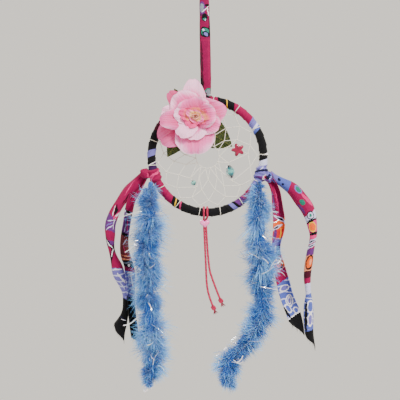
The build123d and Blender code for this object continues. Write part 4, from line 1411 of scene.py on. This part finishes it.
LEFT_TIE, RIGHT_TIE, TIE_ARC = 198, 341, 13.0
left_tie_print = print_cloth(
    "left_tie_print", 60.0,
    [(0, "magenta"), (9, "pink"), (12, "magenta"), (31, "plum"), (36, "magenta"), (52, "pink")],
    seed=5.0, spread=0.5,
)
right_tie_print = print_cloth(
    "right_tie_print", 60.0,
    [(0, "purple"), (7, "lilac"), (13, "navy"), (16, "lilac"), (22, "purple"), (28, "maroon"),
     (34, "magenta"), (38, "blue"), (47, "magenta")],
    patches=[(4, 6, 1.6, 2.2, 0, "pink", "white")], swirls=[(16, 22)], seed=8.0, spread=0.4,
)
for side, angle, material in (("left", LEFT_TIE, left_tie_print), ("right", RIGHT_TIE, right_tie_print)):
    tie = cloth_turn(f"{side}_tie_cloth", angle, TIE_ARC, 4.7 * MM, 6.5 * MM, 3, material)
    finish_piece(tie, "hoop", "print_cloth", f"{side}_tie")
for side, x, z, angle, material in (
    ("left", -62.5, -197.5, LEFT_TIE, left_tie_print), ("right", 60.5, -203.0, RIGHT_TIE, right_tie_print),
):
    tangent = np.cross(unit(on_hoop(angle) - HOOP), (0.0, 1.0, 0.0))
    centre = np.array((x, 1.0, z)) * MM
    knot = cloth_knot(f"{side}_knot_cloth", centre, tangent, 6.0 * MM, 5.4 * MM, material, angle, 2.0)
    finish_piece(knot, "hoop", "print_cloth", f"{side}_knot")


# ---- Hanger ----
STRAP_TOP_Z, STRAP_FOOT_Z = -0.0165, -0.1192
STRAP_FLAT, STRAP_TURNS = 0.030, 1.32
STRAP_ROWS, STRAP_COLUMNS = 240, 64
strap_print = print_cloth(
    "strap_print", 130.0, [(0, "crimson"), (24, "plum"), (25, "crimson"), (49, "magenta"), (50, "crimson")],
    patches=[
        (5.9, 17, 1.9, 4.4, 0, "grey", "purple"), (1.6, 14.5, 1.8, 1.4, 0, "black"),
        (3.2, 18.6, 0.4, 4.2, -38, "white"), (1.2, 21, 0.4, 4.4, 10, "white"),
        (3.9, 26.5, 2.3, 4.2, 0, "black"), (3.9, 28.4, 1.3, 1.3, 0, "teal"),
        (3.4, 29.2, 0.4, 0.9, -30, "pale"), (3.7, 41.2, 2.8, 4.0, 0, "teal", "black"),
        (3.1, 43.4, 1.5, 1.9, 20, "lilac", "black"), (4.8, 39.2, 0.9, 1.2, 0, "pale"),
        # Painted shade: the long thin maroon stripe at 6.4 across and the thin black ones at 8.6 across darken the
        # strap's left side.
        (0.4, 36, 0.6, 11, 0, "black"), (6.4, 80, 0.8, 30, 0, "maroon"),
        (8.6, 67.5, 1.1, 8, 0, "black"), (7.4, 92.5, 1.5, 5.2, 0, "black", "maroon"),
        (8.6, 45, 0.8, 9, 0, "black"), (1.9, 102, 2.0, 3.2, 0, "grey", "teal"),
        # Painted highlight: the long thin magenta stripe at 1.4 across lightens the strap's right side.
        (6.4, 105, 3.0, 3.6, 0, "black", "maroon"), (1.4, 70, 0.7, 22, 0, "magenta"),
    ],
    slant=0.1, seed=11.0, spread=0.3,
)


def strap_place(i, j):
    """A strip folded round itself into a flat roll, its free edge down one side."""
    share, q = i / (STRAP_ROWS - 1), j / (STRAP_COLUMNS - 1)
    z = STRAP_TOP_Z + (STRAP_FOOT_Z - STRAP_TOP_Z) * share
    waist = 1 - 0.1 * math.exp(-((share / 0.05) ** 2)) - 0.14 * math.exp(-(((1 - share) / 0.06) ** 2))
    waist *= 1 + 0.05 * wobble(21, share * 9)
    lean = 0.14 * wobble(23, share * 3)
    turn = 2 * math.pi * STRAP_TURNS * q + 0.55
    wide = (4.9 + 0.7 * smooth(share * 2.2) - 1.0 * q) * MM * waist
    x, y = wide * math.cos(turn), -(2.05 - 0.95 * q) * MM * math.sin(turn)
    fold = 0.3 * MM * wobble(25, share * 14 + 0.5 * math.cos(turn), math.sin(turn) * 1.2)
    drag = 0.16 * MM * math.sin(70 * share + 2.2 * math.cos(turn))
    y += (fold + drag) * (1 - 0.6 * q)
    right, back = x * math.cos(lean) - y * math.sin(lean), x * math.sin(lean) + y * math.cos(lean)
    return (right, back, z), (q * STRAP_FLAT / MM, -z / MM - 16, 0.0)


strap_points, strap_strip = filled_grid(STRAP_ROWS, STRAP_COLUMNS, strap_place)
strap = sheet_parts(strap_points, strap_strip, CLOTH_THICKNESS).build("strap_cloth", strap_print)
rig.blend(strap, "hanger", "hoop", start=(0, 0, -0.040), end=(0, 0, -0.1185))
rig.slot(strap, "print_cloth")
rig.replaces(strap, "hanging_strap")
strap_turn = cloth_turn("strap_turn_cloth", 90, 10.5, 4.6 * MM, 6.0 * MM, 1, strap_print, 96.0)
finish_piece(strap_turn, "hoop", "print_cloth", "strap_hitch")

# The eye is the same strip, folded in three and turned back on itself; the knot closes it.
EYE_MIDDLE, EYE_HALF_WIDTH, EYE_HALF_THICK = 0.0077, 0.0042, 0.00052
EYE_ROWS, EYE_COLUMNS = 120, 28


def eye_place(i, j):
    """A ring of folded strip, a little wider than it is high."""
    turn, section = 2 * math.pi * i / EYE_ROWS - math.pi / 2, 2 * math.pi * j / EYE_COLUMNS
    across = EYE_HALF_WIDTH * math.copysign(abs(math.cos(section)) ** 0.6, math.cos(section))
    fold = 0.12 * MM * math.cos(3.2 * across / EYE_HALF_WIDTH + 0.6 * math.sin(turn * 2))
    thick = math.copysign(abs(math.sin(section)) ** 0.7, math.sin(section))
    reach = EYE_MIDDLE + (EYE_HALF_THICK + fold) * thick
    reach += 0.12 * MM * wobble(31, 2 * math.cos(turn), 2 * math.sin(turn), across * 300)
    squeeze = 1 + 0.05 * math.sin(turn)
    point = (reach * squeeze * math.cos(turn), across, reach * math.sin(turn))
    return point, (across / MM, 60 + i * 48 / EYE_ROWS, 0.0)


eye_points, eye_strip = filled_grid(EYE_ROWS, EYE_COLUMNS, eye_place, closed=True)
eye = grid_piece("eye_cloth", eye_points, strap_print, eye_strip, close_rows=True, close_columns=True)
finish_piece(eye, "hanger", "print_cloth", "hanging_eye")
hanger_knot = cloth_knot(
    "hanger_knot_cloth", np.array((0.0, 0.0, -0.0136)), UP, 7.2 * MM, 5.6 * MM, strap_print, 41.0, 52.0,
)
finish_piece(hanger_knot, "hanger", "print_cloth", "hanger_knot")


# ---- Flower ----
SILK_THICKNESS = 0.00035


def petal(parts, heel, base, angle, reach, width, rise, ruffle, point, roll, own, seed):
    """One petal of dyed cloth, added to its layer.

    base is how far forward its heel is. It leaves its heel at the first of rise's two tilts and ends at the
    second, in degrees from flat. roll turns its rim back by more degrees, ruffle waves it, point draws its
    middle out, and own is its shade."""
    rows, columns = 34, 31
    out, side = facing(angle)
    first, last = (math.radians(tilt) for tilt in rise)
    v = np.linspace(0, 1, rows)
    tilt = first + (last - first) * v**0.8 - math.radians(roll) * smooth((v - 0.78) / 0.22)
    flat, up = np.cumsum(np.cos(tilt)) - 1, np.cumsum(np.sin(tilt)) - math.sin(first)
    scale = reach / flat[-1]
    flat, up = flat * scale, up * scale
    points, strip = np.zeros((rows, columns, 3)), np.zeros((rows, columns, 3))
    for j, u in enumerate(np.linspace(-1, 1, columns)):
        droop = 1 - (0.34 + 0.3 * point) * abs(u) ** (2.6 - point)
        droop *= 1 - 0.03 * math.exp(-((u / 0.12) ** 2)) * (1 - point)
        for i in range(rows):
            at = v[i] * droop * (rows - 1)
            away, lift = pick(flat, at), pick(up, at)
            spread = 0.2 + 0.8 * math.sin(math.pi / 2 * min(v[i] / 0.62, 1.0)) ** 1.3
            half = width / 2 * spread * (1 - 0.1 * point * v[i])
            wave = math.sin(5.2 * u + seed * 2.1) + 0.7 * math.sin(9.1 * u + seed * 3.7)
            lift += ruffle * wave * v[i] ** 2.2 * (0.35 + 0.65 * abs(u))
            lift += 0.16 * half * (u * u) * (1.1 - v[i]) + 0.5 * MM * wobble(seed, u * 1.4, v[i] * 2.2)
            lift -= 0.35 * MM * math.exp(-((u / 0.08) ** 2)) * (1 - v[i])
            sway = 0.5 * MM * wobble(seed + 9, v[i] * 2.0)
            points[i, j] = heel + out * away + side * (u * half + sway) + FRONT * (base + lift)
            strip[i, j] = (u, v[i], own)
    parts.join(sheet_parts(points, strip, SILK_THICKNESS))


FLOWER_LAYERS = {
    # How far forward the layer is and its heel's x and z, then each petal's angle, reach, width, rise,
    # ruffle, point, roll and own shade. Lengths are in millimetres.
    "outer": (6.3, (-12.5, -143.2), [
        (91, 38.5, 25, (26, 4), 0.9, 0.25, 10, 0.3),
        # The low own shades of the next two petals darken them: partly dusty tone, partly painted shade.
        (134, 36.5, 18, (16, -8), 0.9, 0.1, 20, -0.6),
        (214, 41.5, 30, (22, -4), 0.8, 0.0, 35, -0.42),
        (271, 36.5, 39, (28, -2), 0.7, 0.0, 40, -0.06),
        (14, 33.5, 36, (26, 2), 0.9, 0.75, 6, -0.22),
    ]),
    "second": (7.6, (-12.3, -143.0), [
        (127, 29.5, 31, (42, 10), 1.4, 0.1, 14, -0.02),
        (169, 33, 20, (34, 6), 1.0, 0.1, 16, 0.2),
        (187, 34.5, 20, (44, 14), 0.8, 0.0, 55, -0.3),
        (338, 27, 26, (36, 8), 1.0, 0.2, 16, -0.1),
        (268, 23, 26, (40, 6), 0.6, 0.0, 6, 0.25),
    ]),
    "third": (9.2, (-11.8, -142.8), [
        (104, 19, 34, (60, 16), 1.8, 0.0, 16, -0.12),
        (170, 21, 18, (52, 18), 1.0, 0.0, 24, 0.05),
        (229, 25, 21, (50, 4), 0.7, 0.0, 25, 0.42),
        (6, 21, 24, (54, 18), 1.4, 0.0, 55, -0.1),
    ]),
    "fourth": (10.4, (-11.4, -142.7), [
        (86, 9.5, 25, (66, 26), 1.6, 0.0, 30, -0.05),
        (166, 17, 12, (58, 18), 1.4, 0.0, 35, 0.1),
        (228, 12.5, 14, (58, 16), 1.2, 0.0, 30, 0.35),
        (286, 8.5, 17, (62, 22), 1.4, 0.0, 25, 0.2),
        (354, 15.5, 13, (58, 20), 1.5, 0.0, 55, 0.0),
    ]),
    "inner": (11.4, (-11.2, -142.6), [
        (60, 6.5, 13, (74, 34), 1.4, 0.0, 20, 0.0),
        (152, 10.5, 8, (66, 26), 1.2, 0.0, 25, 0.1),
        (226, 6.5, 10, (70, 30), 1.0, 0.0, 15, 0.3),
        (332, 9.5, 8, (66, 28), 1.2, 0.0, 20, 0.1),
    ]),
}
ROSE, DEEP, SOFT, PALE = rgb(176, 44, 88), rgb(232, 62, 130), rgb(250, 108, 176), rgb(255, 184, 220)
GOLD, CREAM, APRICOT = rgb(218, 146, 58), rgb(250, 206, 136), rgb(242, 128, 104)
LAYER_COLOURS = {
    "outer": (ROSE, DEEP, SOFT, PALE),
    "second": (ROSE, DEEP, SOFT, PALE),
    "third": (APRICOT, DEEP, SOFT, PALE),
    "fourth": (GOLD, CREAM, APRICOT, DEEP),
    "inner": (GOLD, GOLD, CREAM, SOFT),
}
for k, (layer, (base, (heel_x, heel_z), petals)) in enumerate(FLOWER_LAYERS.items()):
    parts = Parts()
    heel = np.array((heel_x, 0.0, heel_z)) * MM
    for m, (angle, reach, width, rise, ruffle, point, roll, own) in enumerate(petals):
        forward = (base + 0.25 * m) * MM
        petal(
            parts, heel, forward, angle, reach * MM, width * MM, rise, ruffle * MM, point, roll, own,
            seed=k * 7.0 + m,
        )
    piece = parts.build(f"silk_{layer}", silk_petal(f"petal_silk_{layer}", *LAYER_COLOURS[layer]))
    finish_piece(piece, "hoop", "petal_silk", f"petals_{layer}")

# The centre: a strip of the same cloth rolled up tight, its rim waved.
BUD_ROWS, BUD_COLUMNS, BUD_TURNS = 170, 22, 2.6
BUD_HEEL = np.array((-11.3, -12.0, -142.6)) * MM


def bud_place(i, j):
    """q runs round the roll and v from its heel to its rim."""
    q, v = i / (BUD_ROWS - 1), j / (BUD_COLUMNS - 1)
    turn = 2 * math.pi * BUD_TURNS * q + 2.2
    reach = (0.4 + 2.6 * q**0.8) * (0.5 + 0.6 * v**1.5) * (1 + 0.14 * math.sin(3 * turn) * v)
    height = (8.2 + 1.0 * math.sin(turn * 1.5) + 0.6 * (1 - q)) * v
    offset = np.array((1.3 * reach * math.cos(turn), -height, 0.85 * reach * math.sin(turn)))
    return BUD_HEEL + MM * offset, (q * 8, v, 0.2 * math.sin(q * 9))


bud_points, bud_strip = filled_grid(BUD_ROWS, BUD_COLUMNS, bud_place)
bud_silk = silk_petal("bud_silk", rgb(96, 54, 22), GOLD, CREAM, rgb(248, 176, 160))
bud = sheet_parts(bud_points, bud_strip, SILK_THICKNESS).build("silk_bud", bud_silk)
finish_piece(bud, "hoop", "bud_silk", "flower_bud")
shade_nodes(moulded("stem_plastic", rgb(92, 122, 60), rgb(58, 84, 38), 500.0), "flower_stem", "flower_calyx")
shade_nodes(
    moulded("glue", rgb(226, 220, 200), rgb(198, 188, 158), 300.0, Transmission_Weight=0.3, Coat_Weight=0.4),
    "flower_glue",
)


# ---- Leaves ----
LEAF_HEEL, LEAF_THICKNESS = np.array((-16.5, 0.0, -144.0)) * MM, 0.0003


def leaf_piece(name, node, base, angle, length, half_width, cup, droop, seed):
    """A pressed cloth leaf: creased down its midrib, its rim finely toothed. Lengths are in millimetres."""
    rows, columns, teeth = 90, 25, 17
    out, side = facing(angle)

    def place(i, j):
        v, u = i / (rows - 1), 2 * j / (columns - 1) - 1
        tooth = 1 + 0.05 * ((v * teeth) % 1.0) * (v > 0.12)
        half = half_width * (math.sin(math.pi * min(v, 0.995) ** 0.82) ** 0.85 + 0.1 * (1 - v)) * tooth
        lift = cup * abs(u) * math.sin(math.pi * v) + droop * v * v + 0.35 * wobble(seed, u * 1.5, v * 4)
        vein = 2 * math.pi * (v * length - abs(u) * half * VEIN_SLANT) / VEIN_GAP
        lift += 0.16 * math.sin(vein) * abs(u)
        point = LEAF_HEEL + MM * (out * v * length + side * u * half + FRONT * (base + lift))
        return point, (u * half, v * length, 0.0)

    points, strip = filled_grid(rows, columns, place)
    piece = sheet_parts(points, strip, LEAF_THICKNESS).build(name, leaf_silk)
    finish_piece(piece, "hoop", "leaf_silk", node)


leaf_silk = leaf_cloth()
leaf_piece("leaf_right_cloth", "leaf_right", -1.9, -34, 50.0, 14.5, -1.6, -3.6, 1.0)
leaf_piece("leaf_left_cloth", "leaf_left", 5.4, -122, 44, 10.0, 1.0, -1.5, 2.0)
leaf_piece("leaf_top_cloth", "leaf_top", 6.0, 116.6, 34, 6.5, 0.8, 0.5, 3.0)


# ---- Tassel ----
CORD_HITCH_REACH = 0.0058
TASSEL_X, STRAND_GAP = -0.00295, 0.0034
HOOP_FOOT_Z = -0.2375


def hitch_side(x, hang_x, order):
    """Half the cow hitch: from the hanging strand up the front of the hoop, over it and down to the bar."""
    spots = [(hang_x, 0.0, -0.2446)]
    for around in (-1.15, -0.4, 0.35, 1.1, 1.85, 2.6):
        y = -CORD_HITCH_REACH * math.cos(around)
        spots.append((x, y, HOOP_FOOT_Z + CORD_HITCH_REACH * math.sin(around)))
    return spots[::order]


bar = [(TASSEL_X - 0.0014, 0.0064, -0.2395), (TASSEL_X + 0.0014, 0.0064, -0.2395)]
left_half = hitch_side(TASSEL_X - STRAND_GAP / 2, LEFT_STRAND[0][0], 1)
right_half = hitch_side(TASSEL_X + STRAND_GAP / 2, RIGHT_STRAND[0][0], -1)
hitch_line = route_line(left_half + bar + right_half)
tassel_hitch = twisted_cord("tassel_cow_hitch", hitch_line[::2], TASSEL_DIAMETER, TASSEL_LAY, cord_finish)
finish_piece(tassel_hitch, "tassel", "pink_cord", "tassel_hitch")

fray_finish = waxed_thread("pink_fray", rgb(150, 22, 58), rgb(56, 4, 20), 0.3, sheen=0.1)
FRAYS, FRAY_SEEDS = 46, {"left": 41, "right": 43}
tassel_knots = {}
down = unit(np.array((0.37, 0.0, -0.93)))
across = unit(np.cross(down, FRONT))
for side, tip in (("left", LEFT_STRAND[-1]), ("right", RIGHT_STRAND[-1])):
    middle = np.array(tip)
    parts = Parts()
    t = np.linspace(0, 2 * math.pi, 70)
    trefoil = (
        middle
        + np.outer(np.sin(t) + 2 * np.sin(2 * t), across) * 0.52 * MM
        + np.outer(np.cos(t) - 2 * np.cos(2 * t), FRONT) * 0.52 * MM
        + np.outer(-np.sin(3 * t), down) * 1.5 * MM
    )
    add_cord(parts, trefoil, 0.95 * MM, sides=12, lay=TASSEL_LAY)
    knot = parts.build(f"tassel_knot_{side}_cord", cord_finish)
    finish_piece(knot, "tassel", "pink_cord", f"tassel_knot_{side}")
    frays = Parts()
    rng = random.Random(FRAY_SEEDS[side])
    for _ in range(FRAYS):
        lean = across * rng.uniform(-0.42, 0.42) + FRONT * rng.uniform(-0.42, 0.42)
        length = rng.uniform(2.6, 5.2) * MM
        s = np.linspace(0, 1, 7)[:, None]
        root = middle + down * 1.6 * MM + lean * 0.9 * MM
        line = root + (down + lean * 0.4) * length * s + lean * length * 0.9 * s**2
        add_cord(frays, line, 0.17 * MM, sides=5, lay=0.002, taper=1 - 0.6 * s[:, 0])
    ends = finish_piece(frays.build(f"tassel_fray_{side}", fray_finish), "tassel", "pink_cord")
    tassel_knots[side] = [knot, ends]

heart_finish = cast_bead(
    "heart_plastic", rgb(255, 146, 210), rgb(248, 104, 178), 320.0, Specular_IOR_Level=0.6, Coat_Weight=0.7,
    Coat_Roughness=0.12, Subsurface_Weight=0.4, Subsurface_Scale=0.003, Sheen_Weight=0.2,
)
HEART_PLACE, HEART_LEAN = np.array((-0.0039, 0.0, -0.2488)), 1.8
heart = grid_piece(
    "heart_charm", puffed(heart_outline(10.3 * MM), HEART_PLACE, *facing(HEART_LEAN), 6.6 * MM, 0.5),
    heart_finish, close_columns=True,
)
finish_piece(heart, "heart", "heart_plastic", "heart_bead")


# ---- Boas ----
BOAS = {
    # Share of the string's length, how far the down reaches there and how far right it hangs, in millimetres;
    # then the seed.
    "left": ([
        (0.0, 6, 0), (0.05, 9, 0), (0.1, 13.5, 0), (0.17, 18, 0), (0.3, 17, -0.5), (0.42, 15.5, 1.5),
        (0.5, 14.5, 3.5), (0.6, 15, 2.5), (0.7, 16.5, 0), (0.85, 17, -1), (0.93, 12, 0), (0.98, 7, 0),
        (1.04, 5, 0),
    ], 51),
    "right": ([
        (0.0, 6, 0), (0.05, 9, 0), (0.1, 12.5, 0), (0.18, 15, -1), (0.3, 18, -1), (0.38, 18.5, -2),
        (0.46, 17.5, -1), (0.56, 14, 2.5), (0.66, 15, 6), (0.74, 14.5, 6.5), (0.84, 13, 5), (0.92, 12.5, 1.5),
        (1.04, 9, 0),
    ], 53),
}
BOA_LENGTH = 0.2
TUFTS, BARBS, LOCKS = 860, 26, 110
# The shares of tufts that belong to no lock and that are longer, and how much longer.
LOOSE_TUFTS, LONG_TUFTS, LONG_BY = 0.3, 0.1, 1.25
BARB_WIDTH = 0.00034
BARB_TAPER = np.array([0.55, 1.0, 0.95, 0.7, 0.12])
BARB_STEPS = len(BARB_TAPER)
BEHIND_LIMIT, FRONT_LIMIT = -0.0055, -0.0385
down_finish = boa_down("blue_down", rgb(14, 60, 134), rgb(46, 112, 194), rgb(132, 190, 240))


def down_frame(line, share):
    """The place on the string at a share of its length, and the string's directions there.

    Past the string's end the place is carried straight on."""
    last = len(line) - 1
    at = min(share, 1.0) * last
    k = min(int(at), last - 1)
    place = line[k] + (line[k + 1] - line[k]) * (at - k)
    tangent = unit(line[min(k + 6, last)] - line[max(k - 6, 0)])
    place = place + tangent * max(share - 1.0, 0.0) * BOA_LENGTH
    one = unit(np.cross(tangent, (0.0, 1.0, 0.0)))
    return place, tangent, one, np.cross(tangent, one)


def down_piece(side, envelope, seed):
    """Tufts of down bound into the string: each a spray of fine curved barbs, over a soft matted middle."""
    rng = np.random.default_rng(seed)
    line = boa_lines[side]
    shares, reaches, drifts = zip(*envelope)
    strands, shades, widths = [], [], []
    # Each lock of down has a share of the string, a side, a reach, a lean along the string and a tone.
    locks = np.stack([
        rng.random(LOCKS), rng.random(LOCKS) * 2 * math.pi, rng.normal(1.0, 0.2, LOCKS),
        rng.normal(0.25, 0.35, LOCKS), rng.normal(0.0, 0.12, LOCKS),
    ], axis=1)
    for _ in range(TUFTS):
        share, spin, swell, lean, tone = locks[rng.integers(LOCKS)]
        if rng.random() < LOOSE_TUFTS:
            share, spin, swell = rng.random(), rng.random() * 2 * math.pi, 0.85
        share = np.clip(share + rng.normal(0, 0.007), 0, 1) + 0.012
        spin += rng.normal(0, 0.3)
        place, tangent, one, two = down_frame(line, share)
        place = place + np.array((np.interp(share, shares, drifts) * MM, 0.0, 0.0))
        reach = np.interp(share, shares, reaches) * MM
        radial = one * math.cos(spin) + two * math.sin(spin)
        axis = unit(radial + tangent * (lean + rng.normal(0, 0.2)))
        length = reach * (0.74 + 0.3 * rng.random()) * max(swell, 0.5)
        if rng.random() < LONG_TUFTS:
            length *= LONG_BY
        bend = np.cross(axis, rng.normal(size=3)) * 0.35 + np.array((0.0, 0.0, -0.28))
        tone += rng.normal(0.0, 0.07)
        for _ in range(BARBS):
            spray = rng.normal(size=3)
            aim = unit(axis + spray * 0.33)
            size = length * (0.62 + 0.42 * rng.random())
            root = place + radial * 0.6 * MM + axis * length * 0.25 * rng.random() + spray * 0.3 * MM
            t = np.linspace(0, 1, BARB_STEPS)[:, None]
            curl = np.cross(aim, rng.normal(size=3)) * 0.22
            strands.append(root + aim * size * t + (bend + curl) * size * 0.55 * t**2)
            shades.append(np.clip(0.08 + 0.92 * t[:, 0] ** 0.8 * (size / (reach + 1e-9)) + tone, 0, 1))
            widths.append(BARB_WIDTH * (0.8 + 0.4 * rng.random()))
    strands, shades, widths = np.array(strands), np.array(shades), np.array(widths)
    runs = unit(np.gradient(strands, axis=1))
    flat_way = unit(np.cross(runs, rng.normal(size=(len(strands), 1, 3))))
    offset = flat_way * (widths[:, None] * BARB_TAPER[None, :] / 2)[:, :, None]
    points = np.stack([strands - offset, strands + offset], axis=2)
    # Barbs that stick out too far to the back or the front are folded in.
    y = points[..., 1]
    y = np.where(y > BEHIND_LIMIT, BEHIND_LIMIT - 0.12 * (y - BEHIND_LIMIT), y)
    points[..., 1] = np.where(y < FRONT_LIMIT, FRONT_LIMIT + 0.1 * (y - FRONT_LIMIT), y)
    count = len(strands)
    base = (np.arange(count) * BARB_STEPS * 2)[:, None] + (np.arange(BARB_STEPS - 1) * 2)[None, :]
    faces = np.stack([base, base + 1, base + 3, base + 2], axis=2).reshape(-1, 4)

    # The matted middle, lumpy and a little darker.
    rows, columns = 220, 20
    middle = np.zeros((rows, columns, 3))
    for i, share in enumerate(np.linspace(0.0, 1.02, rows)):
        place, tangent, one, two = down_frame(line, share)
        place = place + np.array((np.interp(share, shares, drifts) * MM * 0.6, 0.0, 0.0))
        reach = np.interp(share, shares, reaches) * MM * 0.34
        end = math.sqrt(max(0.0, 1 - ((share - 0.98) / 0.045) ** 2)) if share > 0.98 else 1.0
        for j in range(columns):
            spin = 2 * math.pi * j / columns
            lump = 1 + 0.35 * wobble(seed, share * 26, math.cos(spin) * 1.4, math.sin(spin) * 1.4)
            middle[i, j] = place + (one * math.cos(spin) + two * math.sin(spin)) * reach * lump * end
    mat_faces, _ = grid(middle, start=points.size // 3, close_columns=True)
    everything = np.vstack([points.reshape(-1, 3), pinched(middle).reshape(-1, 3)])
    tones = np.concatenate([np.repeat(shades.ravel(), 2), np.full(rows * columns, 0.12)])
    piece = add_mesh(f"{side}_boa_fluff", everything, faces.tolist() + mat_faces, down_finish, shade=tones)
    return finish_piece(piece, f"{side}_boa", "blue_down", f"{side}_boa_down")


# Tinsel caught in the down: where each ribbon comes out and where it ends, (x, z) in millimetres.
TINSEL = {
    "left": [
        (-46.5, -235, -38.7, -243), (-60.3, -274, -56.4, -282), (-52.5, -285, -59.6, -290),
        (-60.3, -324, -57.4, -332), (-57.7, -345, -42.9, -356), (-55, -360, -63, -365),
        (-59.2, -374, -54.3, -380), (-67, -411, -61.9, -407), (-68.9, -254, -62.8, -246),
        (-47, -310, -40.9, -304),
    ],
    "right": [
        (50.7, -226, 54.5, -232), (52, -260, 56, -265), (42.6, -279, 48.6, -283), (40, -307, 43.3, -298),
        (48, -310, 67, -314), (60.8, -322, 57.7, -326), (29.2, -356, 34.4, -343), (24.1, -359, 18, -364),
        (46, -364, 52, -361), (24.6, -384, 30.8, -376), (3.5, -390, 6.7, -381), (62.5, -289, 69.6, -282),
    ],
}
TINSEL_START_Y, TINSEL_END_Y = -29.0, -31.5
RIBBON_WIDTH, RIBBON_FILM = 0.001, 0.00008
LOOSE_RIBBONS = 40


def tinsel_piece(side, seed):
    """Flat ribbons of film from the string out through the down: the placed ones, then loose ones."""
    rng = np.random.default_rng(seed)
    line = boa_lines[side]
    shares, reaches, _ = zip(*BOAS[side][0])
    parts = Parts()
    routes = []
    for x0, z0, x1, z1 in TINSEL[side]:
        root = line[np.argmin(np.abs(line[:, 2] - z0 * MM))]
        start, end = np.array((x0, TINSEL_START_Y, z0)) * MM, np.array((x1, TINSEL_END_Y, z1)) * MM
        routes.append((root, start, end))
    for _ in range(LOOSE_RIBBONS):
        share = 0.08 + 0.94 * rng.random()
        place, tangent, one, two = down_frame(line, share)
        spin = rng.random() * 2 * math.pi
        radial = one * math.cos(spin) + two * math.sin(spin)
        reach = np.interp(share, shares, reaches) * MM
        start = place + radial * reach * 0.75 + tangent * rng.normal(0, 3) * MM
        end = start + (radial * 0.5 + rng.normal(size=3) * 0.6) * reach * 0.62
        routes.append((place, start, end))
    for root, start, end in routes:
        bow = np.cross(unit(end - start), FRONT) * rng.normal(0, 1.2) * MM
        t = np.linspace(0, 1, 15)[:, None]
        outer = start + (end - start) * t + bow * np.sin(math.pi * t)
        run_in = root + (start - root) * np.linspace(0, 1, 6)[:-1, None]
        path = resample(np.vstack([run_in, outer]), 26)
        path = np.stack([evened(path[:, axis], 5) for axis in range(3)], axis=1)
        path[:, 1] = np.clip(path[:, 1], FRONT_LIMIT - 0.0005, BEHIND_LIMIT)
        path += rng.normal(size=path.shape) * 0.06 * MM
        twist, width = rng.uniform(-1.4, 1.4), RIBBON_WIDTH * rng.uniform(0.7, 1.1)

        def section(share):
            turn = twist * share
            wide = np.array((math.cos(turn), math.sin(turn))) * width / 2
            thick = np.array((-math.sin(turn), math.cos(turn))) * RIBBON_FILM / 2
            return np.array([wide + thick, -wide + thick, -wide - thick, wide - thick])

        parts.add(pinched(swept(path, section, (0.0, 1.0, 0.0))), close_columns=True)
    piece = parts.build(f"{side}_boa_ribbons", tinsel_finish, smooth=False)
    return finish_piece(piece, f"{side}_boa", "tinsel_film", f"{side}_boa_tinsel")


tinsel_finish = tinsel_film()
boa_pieces = {}
for side, (envelope, seed) in BOAS.items():
    boa_pieces[side] = [down_piece(side, envelope, seed), tinsel_piece(side, seed + 10)]


# ---- Declarations ----
for side in ("left", "right"):
    for piece, line, diameter, far_end, others in (
        (boa_strings[side], boa_lines[side], STRING_DIAMETER, "bare", boa_pieces[side]),
        (tassel_cords[side], tassel_lines[side], TASSEL_DIAMETER, "knot", tassel_knots[side]),
    ):
        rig.cord(
            piece, exit=tuple(line[0]), length=float(lengths_along(line)[-1]), diameter=diameter,
            far_end=far_end, stiffness="limp", lay="hanging", path=line.tolist(), with_pieces=others,
        )
for name, (piece, length, cut_area) in tails.items():
    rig.sheet(
        piece, flat=(2 * TAIL_FLAT_HALF, length), held="hung", area=cut_area,
        rests_on=[name.split("_")[0] + "_knot_cloth"],
    )
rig.sheet(
    strap, flat=(STRAP_FLAT, STRAP_TOP_Z - STRAP_FOOT_Z), held="folded",
    rests_on=["hanger_knot_cloth", "hoop_cloth"],
)

model_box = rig.bounds()
with open("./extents.json", "w") as out:
    json.dump({"cad": [list(p) for p in cad_box], "visual": [list(p) for p in model_box]}, out)
